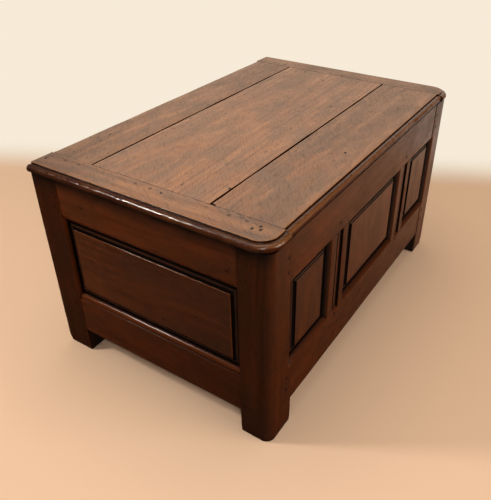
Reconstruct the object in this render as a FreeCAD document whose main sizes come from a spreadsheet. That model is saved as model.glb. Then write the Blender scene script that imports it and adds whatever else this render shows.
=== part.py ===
"""A small joined oak coffer: a panelled case on four posts, with a planked lid on two iron strap hinges.

Millimetres. The origin is on the floor under the middle of the case, +Z is up, X runs along the front
and the front faces -Y. Each wall of the case is drawn in a frame of its own, with x along the wall,
y inwards from the posts' outer face and z up, and its Placement then stands it on its side of the case.
"""

import FreeCAD, Part
import math
import os
from dataclasses import dataclass
from types import SimpleNamespace

import Sketcher
from FreeCAD import Placement, Rotation, Vector

# Driving dimensions

SIZES = {
    # Case, over the posts and without the lid
    "case_length": 866.0,
    "case_depth": 560.0,
    "case_height": 450.0,
    # Posts, with the length that shows under the rails as feet
    "post_width": 75.0,
    "post_depth": 67.0,
    "post_corner_radius": 20.0,
    "foot_height": 64.0,
    # Rails and muntins
    "rail_thickness": 30.0,
    "rail_setback": 1.0,
    "front_top_rail_height": 89.0,
    "front_bottom_rail_height": 104.0,
    "end_top_rail_height": 93.0,
    "end_bottom_rail_height": 103.0,
    "muntin_width": 85.0,
    "muntin_centre": 174.0,
    "muntin_channel_width": 27.0,
    "muntin_channel_depth": 3.5,
    # Worked edges beside the panels
    "rail_chamfer": 9.0,
    "moulding_radius": 8.5,
    "moulding_quirk": 2.5,
    "moulding_step": 2.0,
    # Panels and the grooves that hold them
    "groove_lip": 0.5,
    "groove_width": 6.4,
    "groove_depth": 10.0,
    "panel_edge_gap": 1.5,
    "panel_play": 0.2,
    "panel_bevel_width": 19.0,
    "panel_bevel_rise": 4.5,
    "panel_field_step": 2.5,
    # Mortises, tenons and the pegs through them
    "tenon_inset": 10.0,
    "tenon_thickness": 10.0,
    "tenon_length": 42.0,
    "tenon_shoulder": 22.0,
    "tenon_haunch": 3.0,
    "tenon_play": 0.15,
    "tenon_end_gap": 1.5,
    "muntin_tenon_length": 36.0,
    "peg_radius": 3.75,
    "peg_play": 0.1,
    "peg_length": 32.0,
    "peg_end_gap": 1.0,
    "peg_proud": 0.6,
    "peg_inset": 17.0,
    "peg_pitch": 30.0,
    # Floor boards in the grooves of the bottom rails
    "floor_rise": 16.0,
    "floor_thickness": 14.0,
    "floor_groove_depth": 9.0,
    "floor_end_gap": 1.0,
    "floor_play": 0.4,
    "floor_board_gap": 0.8,
    # Lid planks
    "lid_gap": 0.3,
    "lid_thickness": 20.0,
    "lid_end_overhang": 11.0,
    "lid_front_overhang": 2.4,
    "lid_back_inset": 8.5,
    "back_plank_width": 108.5,
    "front_plank_width": 160.0,
    "plank_gap": 2.0,
    # Lid edge, a half-round nose under a square step
    "nose_inset": 12.5,
    "nose_step": 3.5,
    # Cleats across the lid's ends
    "cleat_width": 66.0,
    "cleat_proud": 4.0,
    "cleat_corner_radius": 45.0,
    "cleat_joint_gap": 0.6,
    "tongue_thickness": 6.6,
    "tongue_length": 22.0,
    "tongue_play": 0.15,
    "tongue_end_gap": 1.0,
    "tongue_margin": 28.0,
    "lid_peg_radius": 3.0,
    "lid_peg_inset": 12.0,
    "lid_peg_pitch": 36.0,
    # Strap hinges
    "hinge_inset": 98.0,
    "knuckle_radius": 5.0,
    "knuckle_length": 12.0,
    "knuckle_gap": 0.5,
    "pin_radius": 2.75,
    "pin_play": 0.05,
    "pin_head_radius": 4.2,
    "pin_head_height": 1.5,
    "plate_height": 58.0,
    "plate_thickness": 3.0,
    "plate_play": 0.4,
    "strap_width": 30.0,
    "strap_tip_width": 20.0,
    "strap_thickness": 3.0,
    "strap_reach": 110.0,
    "strap_notch_play": 0.6,
    # Hand-made nails of the hinges
    "nail_radius": 1.6,
    "nail_play": 0.1,
    "nail_length": 14.0,
    "nail_head_radius": 4.5,
    "nail_crown_radius": 1.8,
    "nail_head_height": 2.0,
    "nail_end_gap": 0.5,
    "plate_nail_margin": 10.0,
    "plate_nail_pitch": 26.0,
    "strap_nail_margin": 26.0,
    "strap_nail_pitch": 48.0,
    "strap_nail_clear": 12.0,
}

FLOOR_BOARDS = 5
SIDES = (-1, 1)


class Size:
    """A length that carries its value in millimetres and the sheet expression that it comes from."""

    def __init__(self, value, text):
        self.value = value
        self.text = text

    def __add__(self, other):
        return combine(self, other, "+", lambda a, b: a + b)

    def __sub__(self, other):
        return combine(self, other, "-", lambda a, b: a - b)

    def __mul__(self, other):
        return combine(self, other, "*", lambda a, b: a * b)

    def __truediv__(self, other):
        return combine(self, other, "/", lambda a, b: a / b)

    def __neg__(self):
        return self * -1

    __radd__ = __add__
    __rmul__ = __mul__


def as_size(number):
    """A plain number as a Size, and a Size as it is."""
    return number if isinstance(number, Size) else Size(float(number), f"({number})")


def combine(left, right, sign, rule):
    """Joins two sizes by one sign of arithmetic, in value and in text."""
    left, right = as_size(left), as_size(right)
    return Size(rule(left.value, right.value), f"({left.text} {sign} {right.text})")


doc = FreeCAD.newDocument("coffer")
sheet = doc.addObject("Spreadsheet::Sheet", "Sizes")
for row, (alias, number) in enumerate(SIZES.items(), start=1):
    sheet.set(f"A{row}", alias)
    sheet.set(f"B{row}", str(number))
    sheet.setAlias(f"B{row}", alias)
doc.recompute()
S = SimpleNamespace(**{alias: Size(number, f"Sizes.{alias}") for alias, number in SIZES.items()})
nodes = []

# Places that several pieces share

OUTER_X = S.case_length / 2
OUTER_Y = S.case_depth / 2
POST_INNER_X = OUTER_X - S.post_width
POST_INNER_Y = OUTER_Y - S.post_depth
RAIL_FACE = S.rail_setback
RAIL_INNER = S.rail_setback + S.rail_thickness
GROOVE_NEAR = RAIL_FACE + S.moulding_step + S.moulding_radius + S.groove_lip
GROOVE = (GROOVE_NEAR, GROOVE_NEAR + S.groove_width)
TENON = (RAIL_FACE + S.tenon_inset, RAIL_FACE + S.tenon_inset + S.tenon_thickness)
TENON_KEEP = S.groove_depth + S.tenon_haunch
PEG_HOLE_RADIUS = S.peg_radius + S.peg_play
PEG_HOLE_DEPTH = S.peg_length + S.peg_end_gap
FLOOR_LOW = S.foot_height + S.floor_rise
LID_LOW = S.case_height + S.lid_gap
LID_TOP = LID_LOW + S.lid_thickness
CLEAT_JOINT_X = OUTER_X + S.lid_end_overhang - S.cleat_width
PLANK_BACK_Y = OUTER_Y - S.lid_back_inset
PLANK_FRONT_Y = -(OUTER_Y + S.lid_front_overhang)
BACK_JOINT_Y = PLANK_BACK_Y - S.back_plank_width
FRONT_JOINT_Y = PLANK_FRONT_Y + S.front_plank_width
PLATE_SEAT_Y = OUTER_Y - RAIL_FACE - S.plate_thickness
AXIS_Y = PLATE_SEAT_Y + S.plate_play + S.knuckle_radius
AXIS_Z = LID_LOW - S.knuckle_radius
HINGE_X = POST_INNER_X - S.hinge_inset
HINGE_WIDTH = S.strap_width + (S.knuckle_gap + S.knuckle_length) * 2
STRAP_LOW = LID_LOW - S.strap_thickness
NAIL_HOLE_RADIUS = S.nail_radius + S.nail_play
NAIL_HOLE_DEPTH = S.nail_length + S.nail_end_gap


@dataclass
class Wall:
    """One side of the case: where its frame stands, its half width between posts and its panel edges."""

    name: str
    turn: float
    base: tuple
    half_span: Size
    bottom_edge: Size
    top_edge: Size
    rail_edges: tuple


FRONT_EDGES = (S.foot_height + S.front_bottom_rail_height, S.case_height - S.front_top_rail_height)
END_EDGES = (S.foot_height + S.end_bottom_rail_height, S.case_height - S.end_top_rail_height)
FRONT = Wall("front", 0, (as_size(0), -OUTER_Y), POST_INNER_X, *FRONT_EDGES, ("chamfer", "plain"))
BACK = Wall("back", 180, (as_size(0), OUTER_Y), POST_INNER_X, *FRONT_EDGES, ("plain", "plain"))
LEFT = Wall("left", -90, (-OUTER_X, as_size(0)), POST_INNER_Y, *END_EDGES, ("ovolo", "ovolo"))
RIGHT = Wall("right", 90, (OUTER_X, as_size(0)), POST_INNER_Y, *END_EDGES, ("ovolo", "ovolo"))

# Small helpers for features


def bind(thing, path, size):
    """Ties one property of a document object to the sheet."""
    thing.setExpression(path, as_size(size).text)


def put(thing, place):
    """Ties the base point of an object's Placement to the sheet."""
    for axis, size in zip("xyz", place):
        bind(thing, f"Placement.Base.{axis}", size)


def stand(thing, wall):
    """Turns an object that was drawn in a wall's frame to its side of the case."""
    thing.Placement = Placement(Vector(), Rotation(Vector(0, 0, 1), wall.turn))
    put(thing, (*wall.base, 0))


def new_body(label, wall=None):
    """An empty body that becomes one node."""
    body = doc.addObject("PartDesign::Body", label)
    body.Label = label
    if wall:
        stand(body, wall)
    nodes.append(body)
    return body


def span(side, near, far):
    """The stretch from near to far on the positive or negative side, lowest first."""
    return (near, far) if side > 0 else (-far, -near)


def between(one, other):
    """The two sizes, lowest first."""
    one, other = as_size(one), as_size(other)
    return (one, other) if one.value < other.value else (other, one)


def widen(stretch, play):
    """A stretch with the same play added at both ends."""
    return (stretch[0] - play, stretch[1] + play)


def block(body, x, y, z, cut=False):
    """Adds a square block to a body, or cuts one out of it."""
    kind = "Subtractive" if cut else "Additive"
    feature = body.newObject(f"PartDesign::{kind}Box", "Cut" if cut else "Block")
    for side, (low, high) in zip(("Length", "Width", "Height"), (x, y, z)):
        bind(feature, side, as_size(high) - low)
    put(feature, (x[0], y[0], z[0]))
    return feature


def wedge(body, x, y, z, far_x, far_z, cut=False):
    """Adds a block whose section at the far y differs from the one at the near y, or cuts one out."""
    kind = "Subtractive" if cut else "Additive"
    feature = body.newObject(f"PartDesign::{kind}Wedge", "Slope" if cut else "Wedge")
    ends = {"X": x, "Y": y, "Z": z, "X2": far_x, "Z2": far_z}
    for name, (low, high) in ends.items():
        bind(feature, f"{name}min", low)
        bind(feature, f"{name}max", high)
    return feature


TURNS = {
    "x": Rotation(Vector(0, 1, 0), 90),
    "y": Rotation(Vector(1, 0, 0), -90),
    "z": Rotation(),
}


def rod(body, radius, length, start, axis, cut=False):
    """Adds a round rod that runs from start along a positive axis, or drills one out."""
    kind = "Subtractive" if cut else "Additive"
    feature = body.newObject(f"PartDesign::{kind}Cylinder", "Hole" if cut else "Rod")
    feature.Placement = Placement(Vector(), TURNS[axis])
    bind(feature, "Radius", radius)
    bind(feature, "Height", length)
    put(feature, start)
    return feature


@dataclass
class Corner:
    """A corner of an outline; the stretch to the next corner is straight, or an arc about a centre."""

    u: Size
    v: Size
    centre: tuple = None
    anticlockwise: bool = True
    held_by: str = "u"


def outline(body, plane, corners, offset=0, shift=0):
    """Draws a closed outline on one of the body's origin planes, every corner tied to the sheet."""
    sketch = body.newObject("Sketcher::SketchObject", "Outline")
    support = [item for item in body.Origin.OriginFeatures if item.Role == plane][0]
    sketch.AttachmentSupport = [(support, "")]
    sketch.MapMode = "FlatFace"
    bind(sketch, "AttachmentOffset.Base.z", offset)
    bind(sketch, "AttachmentOffset.Base.x", shift)
    points = [Vector(as_size(c.u).value, as_size(c.v).value, 0) for c in corners]
    ends = []
    for index, corner in enumerate(corners):
        start, end = points[index], points[(index + 1) % len(points)]
        if corner.centre is None:
            sketch.addGeometry(Part.LineSegment(start, end), False)
            ends.append((1, 2))
            continue
        centre = Vector(as_size(corner.centre[0]).value, as_size(corner.centre[1]).value, 0)
        first, last = (start - centre, end - centre)
        if not corner.anticlockwise:
            first, last = last, first
        low = math.atan2(first.y, first.x)
        high = math.atan2(last.y, last.x)
        if high <= low:
            high += 2 * math.pi
        circle = Part.Circle(centre, Vector(0, 0, 1), first.Length)
        sketch.addGeometry(Part.ArcOfCircle(circle, low, high), False)
        ends.append((1, 2) if corner.anticlockwise else (2, 1))
    for index in range(len(corners)):
        after = (index + 1) % len(corners)
        joint = Sketcher.Constraint("Coincident", index, ends[index][1], after, ends[after][0])
        sketch.addConstraint(joint)
    for index, corner in enumerate(corners):
        hold(sketch, "DistanceX", index, ends[index][0], corner.u)
        hold(sketch, "DistanceY", index, ends[index][0], corner.v)
        if corner.centre and corner.held_by == "u":
            hold(sketch, "DistanceX", index, 3, corner.centre[0])
        elif corner.centre:
            hold(sketch, "DistanceY", index, 3, corner.centre[1])
    return sketch


def hold(sketch, kind, geometry, point, size):
    """Holds a point of a sketch at a distance from the sketch's origin."""
    size = as_size(size)
    index = sketch.addConstraint(Sketcher.Constraint(kind, -1, 1, geometry, point, size.value))
    sketch.setExpression(f"Constraints[{index}]", size.text)


def pad(body, sketch, length):
    """Gives an outline its thickness, along its plane's normal."""
    feature = body.newObject("PartDesign::Pad", "Pad")
    feature.Profile = sketch
    bind(feature, "Length", length)
    return feature


def group(label, pieces, wall=None):
    """Several like pieces in one node, each a solid of its own."""
    compound = doc.addObject("Part::Compound", label)
    compound.Label = label
    compound.Links = pieces
    if wall:
        stand(compound, wall)
    nodes.append(compound)
    return compound


def pin_piece(radius, length, start, axis):
    """A loose round peg."""
    piece = doc.addObject("Part::Cylinder", "Peg")
    piece.Placement = Placement(Vector(), TURNS[axis])
    bind(piece, "Radius", radius)
    bind(piece, "Height", length)
    put(piece, start)
    return piece


# Joints of the case's frame


def tenon_height(edge, far):
    """The heights between which a rail's tenon lies, from its panel edge and its other edge."""
    away = 1 if far.value > edge.value else -1
    return between(edge + TENON_KEEP * away, far - S.tenon_shoulder * away)


def rails_of(wall):
    """The panel edge and the other edge of a wall's bottom rail and top rail."""
    return ((wall.bottom_edge, S.foot_height), (wall.top_edge, S.case_height))


def post_peg_heights(wall):
    """The heights of the pegs that pin a wall's rails to its posts."""
    heights = []
    for edge, far in rails_of(wall):
        low, high = tenon_height(edge, far)
        heights += [(low + high) / 2 + S.peg_pitch / 2 * side for side in SIDES]
    return heights


def muntin_peg_heights(wall):
    """The heights of the pegs that pin a wall's muntins to its rails."""
    return (wall.bottom_edge - S.muntin_tenon_length / 2, wall.top_edge + S.muntin_tenon_length / 2)


def muntin_tenon(side):
    """The stretch along the wall of a muntin's tenons."""
    half = S.muntin_width / 2 - TENON_KEEP
    return (S.muntin_centre * side - half, S.muntin_centre * side + half)


def drill(body, x, z):
    """A peg hole through a wall, from its outer face, drilled in the wall's frame."""
    rod(body, PEG_HOLE_RADIUS, PEG_HOLE_DEPTH, (x, 0, z), "y", cut=True)


# Edges of uprights beside the panels


def chamfer_upright(body, wall, x, side, face, width):
    """Chamfers an upright's edge at x, mitred with the bottom rail's; the upright lies on that side of x."""
    near_x = between(x, x + width * side)
    near_z = (wall.bottom_edge - width, wall.top_edge)
    far_z = (wall.bottom_edge, wall.top_edge)
    wedge(body, near_x, (face, face + width), near_z, (x, x), far_z, cut=True)


# Posts


def post(label, side_x, side_y):
    """A post with the mortises, grooves and peg holes of the two walls that meet in it."""
    body = new_body(label)
    blank = block(
        body,
        span(side_x, POST_INNER_X, OUTER_X),
        span(side_y, POST_INNER_Y, OUTER_Y),
        (0, S.case_height),
    )
    if side_y < 0:
        round_corner(body, blank, OUTER_X.value * side_x, OUTER_Y.value * side_y)
        chamfer_upright(body, FRONT, POST_INNER_X * side_x, side_x, -OUTER_Y, RAIL_FACE + S.rail_chamfer)
    for wall, side_along, side_in in ((FRONT, side_x, side_y), (LEFT, side_y, side_x)):
        along_first = wall is FRONT
        outer = OUTER_Y if along_first else OUTER_X

        def cut_in(along, inwards, z):
            along = span(side_along, *along)
            inwards = span(side_in, outer - inwards[1], outer - inwards[0])
            flat = (along, inwards) if along_first else (inwards, along)
            block(body, *flat, z, cut=True)

        for edge, far in rails_of(wall):
            reach = (wall.half_span, wall.half_span + S.tenon_length + S.tenon_end_gap)
            cut_in(reach, widen(TENON, S.tenon_play), widen(tenon_height(edge, far), S.tenon_play))
        groove_height = (wall.bottom_edge - S.groove_depth, wall.top_edge + S.groove_depth)
        cut_in((wall.half_span, wall.half_span + S.groove_depth), GROOVE, groove_height)
        for z in post_peg_heights(wall):
            across = (wall.half_span + S.peg_inset) * side_along
            start = span(side_in, outer - PEG_HOLE_DEPTH, outer)[0]
            place = (across, start, z) if along_first else (start, across, z)
            rod(body, PEG_HOLE_RADIUS, PEG_HOLE_DEPTH, place, "y" if along_first else "x", cut=True)


def round_corner(body, blank, x, y):
    """Rounds the upright corner of a post that stands at x and y."""
    doc.recompute()
    for number, edge in enumerate(blank.Shape.Edges, start=1):
        if all(math.hypot(v.X - x, v.Y - y) < 1e-6 for v in edge.Vertexes):
            fillet = body.newObject("PartDesign::Fillet", "Corner")
            fillet.Base = (blank, [f"Edge{number}"])
            bind(fillet, "Radius", S.post_corner_radius)


# Rails


def rail_section(edge, far, worked):
    """A rail's section: square, with the panel groove in one edge and that edge's outer corner worked."""
    away = 1 if far.value > edge.value else -1

    def into(depth):
        return edge + depth * away

    corners = [
        Corner(RAIL_FACE, far),
        Corner(RAIL_INNER, far),
        Corner(RAIL_INNER, edge),
        Corner(GROOVE[1], edge),
        Corner(GROOVE[1], into(S.groove_depth)),
        Corner(GROOVE[0], into(S.groove_depth)),
        Corner(GROOVE[0], edge),
    ]
    if worked == "plain":
        corners.append(Corner(RAIL_FACE, edge))
    elif worked == "chamfer":
        corners.append(Corner(RAIL_FACE + S.rail_chamfer, edge))
        corners.append(Corner(RAIL_FACE, into(S.rail_chamfer)))
    else:
        sunk = RAIL_FACE + S.moulding_step
        inner = sunk + S.moulding_radius
        line = into(S.moulding_radius + S.moulding_quirk)
        corners.append(Corner(inner, edge, (inner, into(S.moulding_radius)), away < 0))
        corners.append(Corner(sunk, into(S.moulding_radius)))
        corners.append(Corner(sunk, line))
        corners.append(Corner(RAIL_FACE, line))
    return corners


def rail(wall, label, edge, far, worked):
    """A rail with its tenons and their peg holes, and the mortises of the muntins that it carries."""
    body = new_body(label, wall)
    section = outline(body, "YZ_Plane", rail_section(edge, far, worked), -wall.half_span)
    pad(body, section, wall.half_span * 2)
    height = tenon_height(edge, far)
    for side in SIDES:
        block(body, span(side, wall.half_span, wall.half_span + S.tenon_length), TENON, height)
        for shift in SIDES:
            z = (height[0] + height[1]) / 2 + S.peg_pitch / 2 * shift
            drill(body, (wall.half_span + S.peg_inset) * side, z)
    if wall in (FRONT, BACK):
        away = 1 if far.value > edge.value else -1
        depth = (S.muntin_tenon_length + S.tenon_end_gap) * away
        bottom_peg, top_peg = muntin_peg_heights(wall)
        for side in SIDES:
            mortise = widen(muntin_tenon(side), S.tenon_play)
            block(body, mortise, widen(TENON, S.tenon_play), between(edge, edge + depth), cut=True)
            drill(body, S.muntin_centre * side, top_peg if away > 0 else bottom_peg)
    return body


def bottom_rail(wall):
    """A bottom rail, with the groove that carries the floor boards."""
    body = rail(wall, f"{wall.name}_bottom_rail", wall.bottom_edge, S.foot_height, wall.rail_edges[0])
    along = (-wall.half_span, wall.half_span)
    groove = (FLOOR_LOW, FLOOR_LOW + S.floor_thickness + S.floor_play)
    block(body, along, (RAIL_INNER - S.floor_groove_depth, RAIL_INNER), groove, cut=True)


def top_rail(wall):
    """A top rail; the back one is let in for the hinges."""
    body = rail(wall, f"{wall.name}_top_rail", wall.top_edge, S.case_height, wall.rail_edges[1])
    if wall is not BACK:
        return
    for side in SIDES:
        centre = HINGE_X * side
        seat = HINGE_WIDTH / 2 + S.pin_head_height + S.plate_play
        low = AXIS_Z - S.plate_height - S.plate_play
        seat_depth = (RAIL_FACE, RAIL_FACE + S.plate_thickness)
        block(body, (centre - seat, centre + seat), seat_depth, (low, S.case_height), cut=True)
        notch = S.strap_width / 2 + S.strap_notch_play
        notch_height = (STRAP_LOW - S.strap_notch_play, S.case_height)
        block(body, (centre - notch, centre + notch), (RAIL_FACE, RAIL_INNER), notch_height, cut=True)
        for x, z in plate_nails():
            rod(body, NAIL_HOLE_RADIUS, NAIL_HOLE_DEPTH, (centre + x, RAIL_FACE, z), "y", cut=True)


# Muntins and panels


def muntin(wall, label, side):
    """An upright between the rails, grooved for the panels; on the front it has a sunk channel."""
    body = new_body(label, wall)
    centre = S.muntin_centre * side
    wide = (centre - S.muntin_width / 2, centre + S.muntin_width / 2)
    tall = (wall.bottom_edge, wall.top_edge)
    block(body, wide, (RAIL_FACE, RAIL_INNER), tall)
    tenons = (wall.bottom_edge - S.muntin_tenon_length, wall.top_edge + S.muntin_tenon_length)
    block(body, muntin_tenon(side), TENON, tenons)
    foot = wall.bottom_edge
    if wall.rail_edges[0] == "chamfer":
        foot = wall.bottom_edge - S.rail_chamfer
        lap = (RAIL_FACE, RAIL_FACE + S.rail_chamfer)
        wedge(body, wide, lap, (foot, wall.bottom_edge), wide, (wall.bottom_edge, wall.bottom_edge))
        for edge, inwards in zip(wide, (1, -1)):
            chamfer_upright(body, wall, edge, inwards, RAIL_FACE, S.rail_chamfer)
    block(body, (wide[0], wide[0] + S.groove_depth), GROOVE, tall, cut=True)
    block(body, (wide[1] - S.groove_depth, wide[1]), GROOVE, tall, cut=True)
    for z in muntin_peg_heights(wall):
        drill(body, centre, z)
    if wall is FRONT:
        channel = (centre - S.muntin_channel_width / 2, centre + S.muntin_channel_width / 2)
        sunk = (RAIL_FACE, RAIL_FACE + S.muntin_channel_depth)
        block(body, channel, sunk, (foot, wall.top_edge), cut=True)


def panel(wall, label, left, right):
    """A panel in its grooves, raised towards the outside; the seen walls' panels have a stepped field."""
    body = new_body(label, wall)
    hidden = S.groove_depth - S.panel_edge_gap
    front = GROOVE[0] + S.panel_play
    opening_x = (left, right)
    opening_z = (wall.bottom_edge, wall.top_edge)
    edge = (front, GROOVE[1] - S.panel_play)
    block(body, widen(opening_x, hidden), edge, widen(opening_z, hidden))
    field_x = widen(opening_x, -S.panel_bevel_width)
    field_z = widen(opening_z, -S.panel_bevel_width)
    bevel = (front - S.panel_bevel_rise, front)
    inner_x = widen(opening_x, -S.panel_play)
    inner_z = widen(opening_z, -S.panel_play)
    wedge(body, field_x, bevel, field_z, inner_x, inner_z)
    if wall is not BACK:
        block(body, field_x, (bevel[0] - S.panel_field_step, bevel[0]), field_z)


# Pegs


def wall_pegs(wall):
    """All the pegs of one wall, each standing a little proud of the outer face."""
    places = []
    for z in post_peg_heights(wall):
        places += [((wall.half_span + S.peg_inset) * side, as_size(0), z) for side in SIDES]
    if wall in (FRONT, BACK):
        for z in muntin_peg_heights(wall):
            places += [(S.muntin_centre * side, RAIL_FACE, z) for side in SIDES]
    pieces = []
    for x, face, z in places:
        start = face - S.peg_proud
        pieces.append(pin_piece(S.peg_radius, S.peg_length - start, (x, start, z), "y"))
    group(f"{wall.name}_pegs", pieces, wall)


# Floor boards


def floor_board(number):
    """A board from front to back in the bottom rails' grooves; the end ones are notched for the posts."""
    body = new_body(f"floor_board_{number + 1}")
    reach = S.floor_groove_depth - S.floor_end_gap - RAIL_INNER
    half_x = OUTER_X + reach
    half_y = OUTER_Y + reach
    pitch = half_x * 2 / FLOOR_BOARDS
    low = pitch * number - half_x
    wide = widen((low, low + pitch), -S.floor_board_gap / 2)
    z = (FLOOR_LOW, FLOOR_LOW + S.floor_thickness)
    block(body, wide, (-half_y, half_y), z)
    if number not in (0, FLOOR_BOARDS - 1):
        return
    side_x = -1 if number == 0 else 1
    for side_y in SIDES:
        notch_x = span(side_x, POST_INNER_X - S.floor_end_gap, OUTER_X)
        notch_y = span(side_y, POST_INNER_Y - S.floor_end_gap, OUTER_Y)
        block(body, notch_x, notch_y, z, cut=True)


# Lid


def nose_section(outer, inner, side):
    """The lid's moulded edge in section, from its nose at outer to a square edge at inner."""
    radius = (S.lid_thickness - S.nose_step) / 2
    shoulder = LID_TOP - S.nose_step

    def inset(depth):
        return outer - depth * side

    return [
        Corner(inner, LID_LOW),
        Corner(inner, LID_TOP),
        Corner(inset(S.nose_inset), LID_TOP),
        Corner(inset(S.nose_inset), shoulder),
        Corner(inset(radius), shoulder, (inset(radius), LID_LOW + radius), side < 0),
        Corner(inset(radius), LID_LOW),
    ]


def plank_tongues(body, low, high):
    """The tongues at both ends of a plank, which the cleats hold, with their peg holes."""
    spare = (S.lid_thickness - S.tongue_thickness) / 2
    near = CLEAT_JOINT_X - S.cleat_joint_gap
    for side in SIDES:
        reach = span(side, near, CLEAT_JOINT_X + S.tongue_length)
        block(body, reach, (low, high), (LID_LOW + spare, LID_TOP - spare))
        for y in lid_peg_places(low, high):
            lid_peg_hole(body, side, y)


def lid_peg_places(low, high):
    """The places along a cleat of the two pegs that pin one plank's tongue."""
    return [(low + high) / 2 + S.lid_peg_pitch / 2 * side for side in SIDES]


def lid_peg_hole(body, side, y):
    """A peg hole down through a cleat and a tongue."""
    place = ((CLEAT_JOINT_X + S.lid_peg_inset) * side, y, LID_LOW)
    rod(body, S.lid_peg_radius + S.peg_play, S.lid_thickness, place, "z", cut=True)


def plank_stretches():
    """The planks' tongues from back to front, as stretches of y."""
    half_gap = S.plank_gap / 2
    return {
        "back": (BACK_JOINT_Y + half_gap, PLANK_BACK_Y - S.tongue_margin),
        "middle": (FRONT_JOINT_Y + half_gap, BACK_JOINT_Y - half_gap),
        "front": (PLANK_FRONT_Y + S.tongue_margin, FRONT_JOINT_Y - half_gap),
    }


def lid_planks():
    """The three planks of the lid; the front one carries the moulded edge."""
    half = CLEAT_JOINT_X - S.cleat_joint_gap
    for name, (low, high) in plank_stretches().items():
        body = new_body(f"lid_plank_{name}")
        if name == "front":
            section = outline(body, "YZ_Plane", nose_section(PLANK_FRONT_Y, high, -1), -half)
            pad(body, section, half * 2)
        else:
            back = PLANK_BACK_Y if name == "back" else high
            block(body, (-half, half), (low, back), (LID_LOW, LID_TOP))
        plank_tongues(body, low, high)
        if name == "front":
            continue
        for side in SIDES:
            for y in strap_nails()[name]:
                place = (HINGE_X * side, y, STRAP_LOW)
                rod(body, NAIL_HOLE_RADIUS, NAIL_HOLE_DEPTH, place, "z", cut=True)


def lid_cleat(label, side):
    """A cleat across one end of the lid, moulded outside and in front round a quarter-circle corner."""
    body = new_body(label)
    outer_x = (OUTER_X + S.lid_end_overhang) * side
    joint_x = CLEAT_JOINT_X * side
    front_y = PLANK_FRONT_Y - S.cleat_proud
    back_y = PLANK_BACK_Y + S.cleat_proud
    turn_x = outer_x - S.cleat_corner_radius * side
    turn_y = front_y + S.cleat_corner_radius
    # The XZ plane faces -Y, so an outline at y has an offset of -y and grows towards the front.
    long_edge = outline(body, "XZ_Plane", nose_section(outer_x, joint_x, side), -back_y)
    pad(body, long_edge, back_y - turn_y)
    quarter = nose_section(S.cleat_corner_radius * side, as_size(0), side)
    corner = outline(body, "XZ_Plane", quarter, -turn_y, turn_x)
    turned = body.newObject("PartDesign::Revolution", "Corner")
    turned.Profile = corner
    turned.ReferenceAxis = (corner, ["V_Axis"])
    turned.Angle = 90
    turned.Reversed = side > 0
    ends = between(turn_x, joint_x)
    front_edge = outline(body, "YZ_Plane", nose_section(front_y, turn_y, -1), ends[0])
    pad(body, front_edge, ends[1] - ends[0])
    spare = (S.lid_thickness - S.tongue_thickness) / 2 - S.tongue_play
    depth = span(side, CLEAT_JOINT_X, CLEAT_JOINT_X + S.tongue_length + S.tongue_end_gap)
    stretches = plank_stretches()
    groove = widen((stretches["front"][0], stretches["back"][1]), S.tongue_play)
    block(body, depth, groove, (LID_LOW + spare, LID_TOP - spare), cut=True)
    for low, high in stretches.values():
        for y in lid_peg_places(low, high):
            lid_peg_hole(body, side, y)


def lid_pegs():
    """The pegs of both cleats, flush with the lid."""
    pieces = []
    for side in SIDES:
        x = (CLEAT_JOINT_X + S.lid_peg_inset) * side
        for low, high in plank_stretches().values():
            for y in lid_peg_places(low, high):
                pieces.append(pin_piece(S.lid_peg_radius, S.lid_thickness, (x, y, LID_LOW), "z"))
    group("lid_pegs", pieces)


# Hinges


def plate_nails():
    """The places of a back plate's nails, from the hinge's middle and from the floor."""
    across = HINGE_WIDTH / 2 - S.plate_nail_margin
    low = AXIS_Z - S.plate_height + S.plate_nail_margin
    return [(across * side, low + S.plate_nail_pitch * step) for side in SIDES for step in (0, 1)]


def strap_nails():
    """The places of a strap's nails along it, two in each plank that it crosses, clear of the back rail."""
    ahead = BACK_JOINT_Y - S.strap_nail_margin
    behind = BACK_JOINT_Y + S.strap_nail_margin
    return {
        "back": (behind, OUTER_Y - RAIL_INNER - S.strap_nail_clear),
        "middle": (ahead, ahead - S.strap_nail_pitch),
    }


def hinge_plate(label, side):
    """The fixed leaf, let in flush at the back of the top rail, with two knuckles."""
    body = new_body(label)
    centre = HINGE_X * side
    wide = (centre - HINGE_WIDTH / 2, centre + HINGE_WIDTH / 2)
    thick = (PLATE_SEAT_Y, PLATE_SEAT_Y + S.plate_thickness)
    block(body, wide, thick, (AXIS_Z - S.plate_height, AXIS_Z))
    for end in SIDES:
        start = span(end, S.strap_width / 2 + S.knuckle_gap, HINGE_WIDTH / 2)[0]
        rod(body, S.knuckle_radius, S.knuckle_length, (centre + start, AXIS_Y, AXIS_Z), "x")
    room = S.strap_width / 2 + S.knuckle_gap
    relief = (AXIS_Z - S.knuckle_radius - S.plate_play, AXIS_Z)
    block(body, (centre - room, centre + room), thick, relief, cut=True)
    bore_radius = S.pin_radius + S.pin_play
    rod(body, bore_radius, HINGE_WIDTH, (wide[0], AXIS_Y, AXIS_Z), "x", cut=True)
    for x, z in plate_nails():
        place = (centre + x, PLATE_SEAT_Y, z)
        rod(body, NAIL_HOLE_RADIUS, S.plate_thickness, place, "y", cut=True)


def hinge_pin(label, side):
    """The pin of a hinge, with a riveted head at each end."""
    body = new_body(label)
    low = HINGE_X * side - HINGE_WIDTH / 2
    rod(body, S.pin_radius, HINGE_WIDTH, (low, AXIS_Y, AXIS_Z), "x")
    for start in (low - S.pin_head_height, low + HINGE_WIDTH):
        rod(body, S.pin_head_radius, S.pin_head_height, (start, AXIS_Y, AXIS_Z), "x")


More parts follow.
